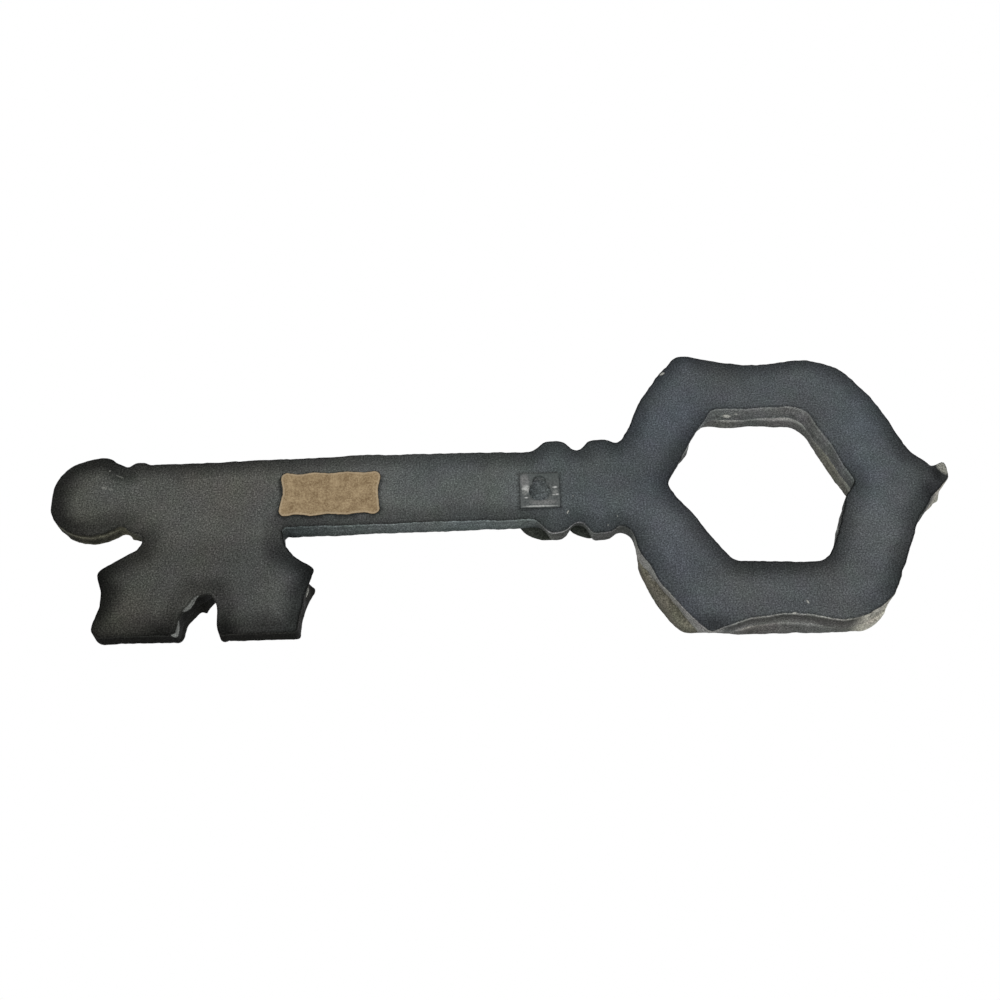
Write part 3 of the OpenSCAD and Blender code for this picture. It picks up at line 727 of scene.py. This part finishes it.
class Nodes:
    """Builds one material's node tree."""

    def __init__(self, name):
        self.material = bpy.data.materials.new(name)
        self.material.use_nodes = True
        self.tree = self.material.node_tree
        self.shader = self.tree.nodes["Principled BSDF"]
        self.place = self.add("TexCoord").outputs["Object"]

    def add(self, kind, *inputs, **settings):
        """Adds a shader node with its first inputs, and with settings or further inputs by name."""
        node = self.tree.nodes.new("ShaderNode" + kind)
        for key, value in settings.items():
            if hasattr(node, key):
                setattr(node, key, value)
            else:
                self.feed(node.inputs[key], value)
        for socket, value in zip(node.inputs, inputs):
            self.feed(socket, value)
        return node

    def feed(self, socket, value):
        """Sets a socket to a number, a list or, from a tuple, a colour, or links an output to it."""
        if isinstance(value, (int, float, list)):
            socket.default_value = value
        elif isinstance(value, tuple):
            socket.default_value = (*srgb(value), 1.0)
        else:
            self.tree.links.new(value, socket)

    def noise(self, size_mm, detail=2.0, roughness=0.5):
        scale = 1.0 / (size_mm * MM)
        node = self.add("TexNoise", self.place, Scale=scale, Detail=detail, Roughness=roughness)
        return node.outputs["Fac"]

    def math(self, operation, a, b):
        return self.add("Math", a, b, operation=operation).outputs[0]

    def times(self, a, b):
        return self.math("MULTIPLY", a, b)

    def span(self, value, low, high, to_low=0.0, to_high=1.0):
        """Carries a value's span over to another one, and holds it there."""
        return self.add("MapRange", value, low, high, to_low, to_high).outputs["Result"]

    def mix(self, share, a, b, blend="MIX"):
        node = self.add("Mix", share, data_type="RGBA", blend_type=blend)
        self.feed(node.inputs[6], a)
        self.feed(node.inputs[7], b)
        return node.outputs[2]

    def attribute(self, name):
        return self.add("Attribute", attribute_name=name).outputs

    def spot(self, centre_mm, size_mm, angle=0.0, full=0.6):
        """An oval patch on the key as a share from 0 to 1, soft outside its full part."""
        centre, size = ([value * MM for value in values] for values in (centre_mm, size_mm))
        turn = [0.0, math.radians(angle), 0.0]
        patch = self.add("Mapping", self.place, centre, turn, size, vector_type="TEXTURE")
        length = self.add("VectorMath", patch.outputs["Vector"], operation="LENGTH")
        return self.span(length.outputs["Value"], 1.0, full)

    def spots(self, places):
        """Several oval patches together."""
        first, *others = [self.spot(*place) for place in places]
        for other in others:
            first = self.math("MAXIMUM", first, other)
        return first

    def bump(self, height, strength, distance_mm):
        node = self.add("Bump", Strength=strength, Distance=distance_mm * MM, Height=height)
        return node.outputs["Normal"]

    def finish(self, colour, roughness, normal, metallic=0.0, specular=0.3):
        """Feeds the shader: metallic and specular are plain numbers on its own sockets."""
        sockets = "Base Color", "Roughness", "Normal", "Metallic", "Specular IOR Level"
        for socket, value in zip(sockets, (colour, roughness, normal, metallic, specular)):
            self.feed(self.shader.inputs[socket], value)
        return self.material


def stippled(n, fine, coarse):
    """Factor of the paint as a grey: grains, which are stronger near the bit, over soft blotches."""
    near_bit = n.span(n.add("SeparateXYZ", n.place).outputs["X"], 0.09, 0.15, 1.0, 1.2)
    swing = n.times(n.span(fine, 0.2, 0.8, -SWING, SWING), near_bit)
    tone = n.times(n.math("POWER", 2.0, swing), n.span(coarse, 0.3, 0.7, 1.04, 1.27))
    return n.add("CombineColor", tone, tone, tone).outputs[0]


def painted(name, chips=(), highlights=(), tip=None):
    """Stippled paint over the colours on the points, with painted highlights, bare places and worn edges.
    """
    n = Nodes(name)
    colour = n.attribute("paint")["Color"]
    # Painted highlights on lit strips of the walls
    for highlight in highlights:
        on_wall = n.times(n.spot(*highlight), n.attribute("wall")["Fac"])
        colour = n.mix(on_wall, colour, HIGHLIGHT_TONE)
    fine = n.noise(GRAIN, roughness=0.9)
    coarse = n.noise(BLOTCH, detail=3.0, roughness=0.6)
    colour = n.mix(1.0, colour, stippled(n, fine, coarse), "MULTIPLY")
    for *place, share in chips:
        ragged = n.times(n.spot(*place), n.span(fine, 0.35, 0.5))
        colour = n.mix(n.times(ragged, share), colour, CHIP_TONE)
    if tip:
        bare = n.times(n.spot(*tip), n.span(coarse, 0.3, 0.42))
        colour = n.mix(bare, colour, n.mix(n.span(fine, 0.4, 0.6), TIP_DARK, TIP_LIGHT))
    wear = n.span(n.noise(5.0, detail=4.0, roughness=0.7), 0.66, 0.7)
    worn = n.times(n.attribute("edge")["Fac"], wear)
    colour = n.mix(n.times(worn, 0.4), colour, WORN_EDGE_TONE)
    height = n.math("ADD", fine, n.times(coarse, 0.8))
    return n.finish(colour, n.span(coarse, 0.3, 0.7, 0.6, 0.8), n.bump(height, 0.3, 0.1), specular=0.01)


def nail_paint():
    n = Nodes("nail_steel")
    fine = n.noise(0.8, roughness=0.8)
    colour = n.mix(n.span(fine, 0.35, 0.65), (84, 87, 86), (132, 134, 131))
    return n.finish(colour, n.span(fine, 0.3, 0.7, 0.45, 0.6), n.bump(fine, 0.3, 0.05), specular=0.25)


def plate_metal():
    n = Nodes("plate_paint")
    fine = n.noise(0.9, roughness=0.85)
    coarse = n.noise(2.6, detail=3.0, roughness=0.6)
    colour = n.mix(n.span(coarse, 0.35, 0.65), (61, 65, 65), (74, 77, 76))
    colour = n.mix(n.span(fine, 0.35, 0.75), colour, (106, 110, 109))
    overspray = n.mix(n.span(fine, 0.35, 0.7), (66, 71, 70), (88, 94, 92))
    colour = n.mix(n.spot(*PLATE_OVERSPRAY), colour, overspray)
    # Painted sheen at one side and at the foot of the plate
    sheen = n.times(n.spots(PLATE_SHEEN), n.span(fine, 0.3, 0.6, 0.1, 0.6))
    colour = n.mix(sheen, colour, (138, 137, 136))
    # Bare metal round a nail, and painted glints on the other nail's head and along the lower lip
    bare = n.times(n.spots(PLATE_BARE_AND_GLINTS), n.span(fine, 0.35, 0.6, 0.35, 1.0))
    colour = n.mix(bare, colour, (186, 187, 184))
    return n.finish(colour, n.span(fine, 0.3, 0.7, 0.45, 0.65), n.bump(fine, 0.3, 0.08), specular=0.2)


def kraft():
    n = Nodes("kraft_paper")
    fibres = n.noise(0.85, detail=3.0, roughness=0.85)
    mottle = n.noise(5.0, detail=4.0, roughness=0.72)
    colour = n.mix(n.span(mottle, 0.34, 0.63), (118, 97, 69), (163, 142, 110))
    colour = n.mix(n.span(fibres, 0.5, 0.78), colour, (104, 84, 60))
    colour = n.mix(n.times(n.span(fibres, 0.5, 0.22), 0.85), colour, (192, 172, 138))
    # Painted highlight along the label's rounded edge
    colour = n.mix(n.times(n.attribute("edge")["Fac"], 0.55), colour, (176, 158, 130))
    # Painted shadow on the label's cut edge, down in its recess
    colour = n.mix(n.attribute("rim")["Fac"], colour, (88, 72, 54))
    return n.finish(colour, n.span(mottle, 0.3, 0.7, 0.75, 0.9), n.bump(fibres, 0.3, 0.06), specular=0.2)


def pin_steel():
    n = Nodes("pin_steel")
    fine = n.noise(0.4, detail=3.0, roughness=0.7)
    colour = n.mix(n.span(fine, 0.35, 0.65), (70, 72, 72), (96, 98, 97))
    return n.finish(colour, n.span(fine, 0.3, 0.7, 0.3, 0.5), n.bump(fine, 0.2, 0.03), metallic=0.7)


# Pieces
# Places where the real edge departs from the drawn outline: x, z, reach in x, reach in z, push
# outwards. Dents shape the whole wall, and undercuts are added to them towards the front.
BOARD_DENTS = [
    # Top of the shaft, and the ball
    (50, 17, 48, 6, 0.9), (80, 17, 16, 6, 0.7), (31, 17, 6, 4, 0.4), (160, 16, 22, 5, -0.8),
    (181, 15, 5, 4, -0.8), (193, 16.5, 4, 4, -1.3), (198, 18, 6, 5, 0.9), (216, 12, 9, 10, 0.8),
    (220, -6, 4, 8, 0.4), (219, -14, 4, 6, 0.5), (205, -22, 12, 6, -0.7), (193, -20, 10, 6, -1.6),
    # The bit and its notch
    (179.5, -27.3, 4, 4, -0.9), (195, -39, 9, 8, 0.7), (197, -55, 5, 8, -0.3), (200, -68, 5, 5, 0.9),
    (143.5, -57.3, 2.5, 3.5, -0.2), (145.8, -54.5, 2.4, 2.6, -1.1), (141.5, -66, 3, 6, 0.9),
    (139.5, -77, 3, 4, 0.9), (105, -75, 8, 5, 0.3), (111, -33, 8, 7, 0.5), (107, -50.5, 3, 3.5, -1),
    # Underside of the shaft and the collars
    (35, -20, 28, 5, -0.6), (-5.3, -27.4, 6, 4, -0.4), (-12, -25, 4, 5, -0.9),
    (-22.7, -25.7, 4, 4, 1), (-39, -31, 5, 6, -1.4),
    # Underside of the bow, from the collars to the point
    (-47, -45, 6, 8, -0.5), (-57, -60, 9, 13, 1.6), (-51, -51, 6, 7, 1.2), (-159.5, -46.5, 3, 3.5, 0.9),
    (-70, -77, 6, 4, -0.9), (-77, -77, 4, 4, -1), (-87, -73, 9, 6, -2.6), (-103, -71, 8, 5, -1.1),
    (-127, -73, 9, 5, 1.9), (-143, -72, 7, 7, -1.9), (-150, -66, 6, 7, -0.8), (-165, -32, 7, 9, 1.2),
    (-164, -42, 5, 8, 0.5), (-183, 1.2, 2.2, 2.2, 2.9), (-182.7, 2.2, 1.7, 2, 2.7),
    (-178, -15, 3, 4, -0.9),
    # Top of the bow, from the point to the collars
    (-178.8, 3.4, 2.6, 2.5, -0.9), (-160, 32, 6, 10, 0.6), (-148, 52, 10, 10, 0.6),
    (-123, 62, 30, 14, 1.1), (-56, 55, 14, 14, 0.9), (-37, 20, 7, 7, 0.9)
]
BOARD_UNDERCUTS = [
    # The bit and its notch
    (103.5, -45, 5, 7, -4.2), (144.5, -55, 3.2, 5, -4.5), (144.5, -56, 3, 4, -2.6),
    (122, -77, 20, 5, -1.2), (141, -72, 2.6, 5, 0.4), (136.5, -73, 2.6, 1.6, -0.8),
    (162, -73, 4, 1.8, -1), (-178, -15, 3, 4, 0.8), (180, -77, 18, 5, -0.6), (198, -77, 3, 3, 0.8),
    (185, -20, 5, 5, -0.9), (181, -24, 4, 4, -0.7),
    # Underside of the ball, the shaft and the collars
    (217, -15, 5, 5, -0.7), (97, -20, 18, 4, 0.8), (112, -20, 6, 4, 0.4), (49, -20, 14, 4, 0.5),
    (27, -19, 22, 4, 0.2), (16, -19, 8, 4, -0.4), (0.5, -23, 4, 4, -2), (-2.5, -26, 3, 4, -0.6),
    (-5.3, -28, 6, 4, -0.7), (-11.3, -24.7, 3, 3.5, -0.7), (-16.3, -21.2, 4, 4, -3.4),
    (-21.5, -24, 3, 4, -0.8), (-26, -27, 8, 4, -0.8), (-36, -30, 5, 8, -1.4),
    # Underside of the bow
    (-57, -60, 9, 13, -1.6), (-51, -51, 6, 7, -1.2), (-152.5, -61, 5, 6, -1),
    (-183.5, -4, 3, 4, -0.9)
]
EYE_DENTS = [
    (-86, -43, 24, 8, 0.85), (-62, -20, 8, 12, 1.3), (-63, -12, 5, 7, -1), (-74, -27, 6, 6, 0.1),
    (-125, -41, 6, 6, 0.8), (-130, -14, 8, 8, 0.6), (-135.7, -17, 4, 6, -1.1), (-132, -27, 4, 8, -0.8),
    (-130, 18, 9, 14, -1.3), (-134, 15, 6, 12, -0.8), (-125, 32, 7, 7, -1.6), (-113, 41, 14, 6, -2.2),
    (-90, 37, 14, 5, -0.5), (-71, 20, 8, 14, -0.7), (-140, -2, 5, 5, -0.6)
]
EYE_UNDERCUTS = [
    (-64, 12, 10, 16, -3), (-74, 30, 8, 9, -2.4), (-130, 18, 9, 14, 1.6), (-125, 32, 7, 7, 1.2),
    (-113, 41, 14, 6, 0.8), (-88, 36, 16, 5, 0.9)
]
RING_BACK_DENTS = [
    (-171, -22, 9, 10, 0.2), (-43.7, -34, 7, 8, -0.6), (-105, -71, 12, 6, -1.2), (-84, -72, 5, 6, 1.8),
    (-126, -71, 9, 6, 1.2), (-152, -60, 6, 8, -0.4)
]
RING_FRONT_DENTS = [
    (-43.7, -34, 7, 8, -0.6), (-44, -50, 6, 12, 0.4), (-110, -71, 36, 5, 0.5), (-66, -71, 14, 5, -0.7),
    (-41, -22, 5, 5, -2), (-152, -60, 6, 8, -1.6), (-146, -70, 5, 5, -1.4), (-182.6, -6, 2, 2.2, 1.5),
    (-180.5, -10.5, 2.5, 3, 1)
]
RING_EYE_DENTS = [
    (-62, 8, 9, 16, -5.5), (-74, 32, 9, 9, -5), (-90, 38, 8, 5, 0.2), (-104, 38, 8, 5, -0.9),
    (-120, 36, 7, 6, -0.3), (-128, 28, 8, 8, -0.5), (-139, 8, 6, 12, 0.5), (-86, -43, 30, 8, -1)
]
BLOCK_DENTS = [
    (145.5, -53, 2.2, 5, -11.5), (159, -63, 4, 5, -0.2), (103, -36, 5, 6, -4.5), (105, -60, 4, 7, -1.2)
]
BLOCK_BACK_DENTS = BLOCK_DENTS + [(102.5, -42.5, 5, 4, -3.2)]
BLOCK_FRONT_DENTS = BLOCK_DENTS + [
    (102.9, -44, 2.5, 3, 1.2), (103.7, -49, 3, 6, -0.5), (150.5, -52.5, 1.4, 2.2, 1.9),
    (159.5, -64, 3, 3.5, 0.9)
]
LABEL_DENTS = [
    (117, -1, 2, 6, -0.5), (103, 7.4, 8, 2, -0.4), (86, 7.4, 5, 2, -0.3), (106, -14.5, 6, 2, -0.35),
    (86.5, -14.1, 6, 2, -0.35)
]
# Relief slabs: name, node, walls' paint, seed, and for each outline its back's and its front's dents
RELIEFS = [
    ("ring", "bow_ring", ring_wall_paint, 11,
     [(RING_BACK_DENTS, RING_FRONT_DENTS), (RING_EYE_DENTS, RING_EYE_DENTS)]),
    ("bit_front", "bit_block", bit_wall_paint, 23, [(BLOCK_BACK_DENTS, BLOCK_FRONT_DENTS)])
]
# Rounded pieces: name, node, material slot, seed, voxel in mm, and for the lower corner towards
# the bit its height, its width, and how far it is drawn inwards and upwards
ROUNDED = [
    ("moulding", "shaft_moulding", "relief_paint", 31, 0.7, None),
    ("bead_1", "bead_near_shaft", "bead_paint", 37, 0.55, (10.5, 14, 7.3, 0.2)),
    ("bead_2", "bead_near_bow", "bead_paint", 41, 0.55, (10.5, 14, 6.4, 0.5)),
    ("neck_bead", "neck_ring", "bead_paint", 43, 0.4, (2.8, 5.6, 3.4, 0.7)),
    ("ball", "end_ball", "relief_paint", 47, 0.55, None)
]
# How far outlines stand out from the drawn ones: the last are the step's outside and eye
BOARD_GROWTH = 0.35
RELIEF_GROWTH = 0.3
STEP_GROWTH = (0.0, -0.6)
# Lattices of caps that show less: on a raised step, in the pocket, and between glued pieces
STEP_LATTICE = 1.8
POCKET_LATTICE = 1.5
HIDDEN_LATTICE = 3.0


def coat(piece, material):
    piece.data.materials.clear()
    piece.data.materials.append(material)


def dress(piece, material, node):
    """Gives a piece its material and lets it stand for a CAD node."""
    coat(piece, material)
    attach(piece, "root")
    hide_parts(node)


def board_shell(outer, eye, recesses):
    """The board with its eye, the recesses for the plate and the label, and the hanger's pocket."""
    recesses.sort(key=lambda loop: -loop[:, 0].mean())
    label_edge, plate_edge = (resampled(loop, 0.7) for loop in recesses)
    pocket = resampled(plane_loops("backing_board", POCKET_FLOOR)[0], 0.6)[::-1]
    pocket[:, 1] = np.minimum(pocket[:, 1], plate_edge[:, 1].max() - 0.4)
    fronts = dented(outer, BOARD_UNDERCUTS), dented(eye, EYE_UNDERCUTS)
    profile = [(1.3, 0.0)] + slab_wall(0.0, BOARD_FRONT, back_r=0.8, front_r=0.5)
    shell = Shell()
    rims = [shell.wall(back, profile, front, edge_at=(4, 5)) for back, front in zip((outer, eye), fronts)]
    plate_rim = shell.wall(plate_edge, [(-0.05, 0.0), (0.0, -0.05), (0.0, PLATE_BACK), (0.0, PLATE_SEAT)])
    label_rim = shell.wall(label_edge, [(0.0, 0.0), (0.0, LABEL_SEAT)])
    halfway = (PLATE_SEAT + POCKET_FLOOR) / 2
    pocket_rim = shell.wall(pocket, [(0.0, PLATE_SEAT), (0.0, halfway), (0.0, POCKET_FLOOR)])
    shell.cap([rims[0][0], rims[1][0], plate_rim[0], label_rim[0]])
    shell.cap([rims[0][1], rims[1][1]], HIDDEN_LATTICE)
    shell.cap([label_rim[1]], HIDDEN_LATTICE)
    shell.cap([plate_rim[1], pocket_rim[0]], POCKET_LATTICE)
    shell.cap([pocket_rim[1]], POCKET_LATTICE)
    return shell


def make_board():
    outer, eye, *recesses = plane_loops("backing_board", 0.0)
    outer, eye = sawn(outer, 1, BOARD_DENTS, BOARD_GROWTH), sawn(eye, 2, EYE_DENTS, BOARD_GROWTH)
    shell = board_shell(outer, eye, recesses)
    piece = shell.build("board")
    mark(piece, "edge", shell.edge)
    points = points_of(piece)
    points[:, Z] = np.maximum(points[:, Z], FOOT_Z - points[:, Y] * FOOT_SLOPE)
    set_points(piece, points)
    paint(piece, board_wall_paint, 2, tree_of(np.vstack([outer, eye])))
    dress(piece, painted("board_paint", CHIPS, PAINTED_HIGHLIGHTS, TIP), "backing_board")


def make_relief(name, node, wall_paint, seed, dents):
    """The ring or the bit's front: a slab with a raised step on its front."""
    low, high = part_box(node)
    back, front = high.y / MM, low.y / MM
    ledge = front + STEP
    foot = [(-0.35, ledge), (-0.1, ledge - 0.1), (0.0, ledge - 0.35)]
    shell = Shell()
    walls, risers = [], []
    outlines = zip(plane_loops(node, back), plane_loops(node, front), dents)
    for k, (outline, step, (back_dents, front_dents)) in enumerate(outlines):
        behind, ahead = (sawn(outline, seed + k, d, RELIEF_GROWTH) for d in (back_dents, front_dents))
        profile = slab_wall(back, ledge, back_r=0.5, front_r=0.6)
        walls.append(shell.wall(behind, profile, ahead, edge_at=(2,)))
        step = sawn(step, seed + 5 + k, front_dents, STEP_GROWTH[k])
        risers.append(shell.wall(step, foot + arris(0.5, front, 1)[::-1], edge_at=(4, 5)))
    shell.cap([rim for rim, _ in walls], HIDDEN_LATTICE)
    shell.cap([rim for _, rim in risers], STEP_LATTICE)
    shell.cap([walls[0][1], risers[0][0]], STEP_LATTICE)
    if len(walls) > 1:
        shell.cap([risers[1][0], walls[1][1]], STEP_LATTICE)
    piece = shell.build(name)
    mark(piece, "edge", shell.edge)
    set_points(piece, points_of(piece))
    paint(piece, wall_paint, seed)
    dress(piece, painted(name + "_paint"), node)


def softened(name, node, voxel):
    """A copy of a CAD solid with its edges rounded."""
    rough = linked(name + "_rough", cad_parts[node].data.copy())
    remesh = rough.modifiers.new("remesh", "REMESH")
    remesh.mode = "VOXEL"
    remesh.voxel_size = voxel * MM
    rough.modifiers.new("smooth", "SMOOTH").iterations = 3
    graph = bpy.context.evaluated_depsgraph_get()
    mesh = bpy.data.meshes.new_from_object(rough.evaluated_get(graph))
    bpy.data.objects.remove(rough)
    mesh.shade_smooth()
    return linked(name, mesh)


def draw_in(piece, height, width, inwards, upwards):
    """Draws in a piece's lower corner at the key's bit side."""
    points = points_of(piece)
    low, side = points[:, Z].min(), points[:, X].max()
    share = np.clip((low + height - points[:, Z]) / height, 0, 1)
    points[:, X] -= inwards * share * ramp(points[:, X], side - width, side)
    points[:, Z] += upwards * share
    set_points(piece, points)


def make_rounded(name, node, slot, seed, voxel, corner):
    """A softened, slightly uneven copy of a CAD solid."""
    piece = softened(name, node, voxel)
    uneven(piece, 0.12, 9.0, seed)
    if corner:
        draw_in(piece, *corner)
    mark(piece, "edge", np.zeros(len(piece.data.vertices)))
    paint(piece, bead_wall_paint, seed)
    dress(piece, painted(name + "_paint"), node)


def make_plate():
    """The sunk plate, dished round its keyhole and turned back a little at its lower lip."""
    node, face = "hanger_plate", PLATE_FACE
    outer, keyhole = plane_loops(node, PLATE_BACK)
    outer = resampled(outer, 0.45)
    outer = outer + outward(outer) * 0.2
    keyhole = resampled(keyhole, 0.3)
    shell = Shell()
    edge = [(0.5, face), (0.06, face - 0.01), (0.0, face - 0.08), (0.0, PLATE_SEAT)]
    worn = [(0.5, face), (0.15, face - 0.06), (0.0, face - 0.25), (0.0, PLATE_SEAT)]
    rims = [shell.wall(outer, edge), shell.wall(keyhole, worn)]
    shell.cap([rims[0][0], rims[1][0]], 0.6)
    shell.cap([rims[0][1], rims[1][1]], 2.0)
    piece = shell.build("hanger_plate_face")
    points = points_of(piece)
    on_face = ramp(points[:, Y], face - 0.3, face - 0.1)
    lip = ramp(points[:, Z], -12.7, -13.3) * 0.35
    dish = -0.2 * np.exp(-((distance(points, HANGER_MIDDLE) - 6.0) / 1.6) ** 2)
    points[:, Y] += (lip + dish) * on_face
    set_points(piece, points)
    dress(piece, plate_metal(), node)


def make_nails():
    """The nails, their heads lifted to the plate's face and half painted over."""
    node = "hanger_nails"
    piece = linked("nail_heads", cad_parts[node].data.copy())
    points = points_of(piece)
    points[:, Y] += np.where(points[:, Y] > HEAD_DEPTH, HEAD_LIFT, 0.0)
    set_points(piece, points)
    dress(piece, nail_paint(), node)


def make_label():
    node = "paper_label"
    loop = dented(resampled(plane_loops(node, LABEL_BACK)[0], 0.4), LABEL_DENTS)
    loop = wandering(loop, [(0.25, 6, 4), (0.15, 1.6, 9)])
    shell = Shell()
    profile = [
        (1.1, LABEL_FACE - 0.01), (0.75, LABEL_FACE), (0.35, LABEL_FACE - 0.01),
        (0.12, LABEL_BACK), (0.0, LABEL_BACK - 0.1), (0.0, LABEL_SEAT)
    ]
    top, bottom = shell.wall(loop, profile, edge_at=(1, 2, 3))
    shell.cap([top], 1.2)
    shell.cap([bottom], HIDDEN_LATTICE)
    piece = shell.build("label_sheet")
    # The rounded edge is marked for a painted highlight, and the cut edge for a painted shadow
    mark(piece, "edge", shell.edge)
    mark(piece, "rim", points_of(piece)[:, Y] < LABEL_BACK - 0.05)
    dress(piece, kraft(), node)


def dress_pins():
    """The panel pins keep their CAD meshes and get a steel material."""
    material = pin_steel()
    for name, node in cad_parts.items():
        if name.endswith("_pins"):
            coat(node, material)


def make_stage():
    h = FLOOR_SIZE / 2
    mesh = bpy.data.meshes.new("floor")
    mesh.from_pydata([(x, y, FLOOR_Z) for x, y in ((-h, -h), (h, -h), (h, h), (-h, h))], [], [range(4)])
    floor = linked("floor", mesh)
    material = bpy.data.materials.new("floor")
    material.use_nodes = True
    shader = material.node_tree.nodes["Principled BSDF"]
    shader.inputs["Base Color"].default_value = (FLOOR_TONE, FLOOR_TONE, FLOOR_TONE, 1.0)
    shader.inputs["Roughness"].default_value = 0.9
    mesh.materials.append(material)


def make_world():
    """Light from all sides, which the camera sees as plain white."""
    world = bpy.data.worlds.new("studio")
    world.use_nodes = True
    bpy.context.scene.world = world
    tree = world.node_tree
    tree.nodes.clear()
    kinds = "OutputWorld", "LightPath", "MixShader"
    out, rays, mix = (tree.nodes.new("ShaderNode" + kind) for kind in kinds)
    tree.links.new(rays.outputs["Is Camera Ray"], mix.inputs[0])
    for socket, strength in ((mix.inputs[1], AMBIENT), (mix.inputs[2], 1.0)):
        light = tree.nodes.new("ShaderNodeBackground")
        light.inputs["Color"].default_value = (1.0, 1.0, 1.0, 1.0)
        light.inputs["Strength"].default_value = strength
        tree.links.new(light.outputs[0], socket)
    tree.links.new(mix.outputs[0], out.inputs["Surface"])


def make_lamps():
    for name, place, size, power in LAMPS:
        lamp = bpy.data.lights.new(name, "AREA")
        lamp.size = size
        lamp.energy = power
        holder = linked(name, lamp)
        holder.location = place
        holder.rotation_euler = (-Vector(place)).to_track_quat("-Z", "Y").to_euler()


def make_camera():
    """A camera that is turned round to the back, tilted to its elevation and rolled a little."""
    data = bpy.data.cameras.new("camera")
    data.lens = LENS_MM
    data.sensor_width = SENSOR_MM
    tilted = Matrix.Rotation(math.pi, 4, "Z") @ Matrix.Rotation(math.pi / 2 - CAMERA_ELEVATION, 4, "X")
    camera = linked("camera", data)
    camera.matrix_world = Matrix.Translation(CAMERA_AT) @ tilted @ Matrix.Rotation(CAMERA_ROLL, 4, "Z")
    bpy.context.scene.camera = camera


bpy.context.scene.view_settings.view_transform = "Standard"
make_camera()
make_world()
make_lamps()
make_stage()
make_board()
for row in RELIEFS:
    make_relief(*row)
for row in ROUNDED:
    make_rounded(*row)
make_plate()
make_nails()
make_label()
dress_pins()
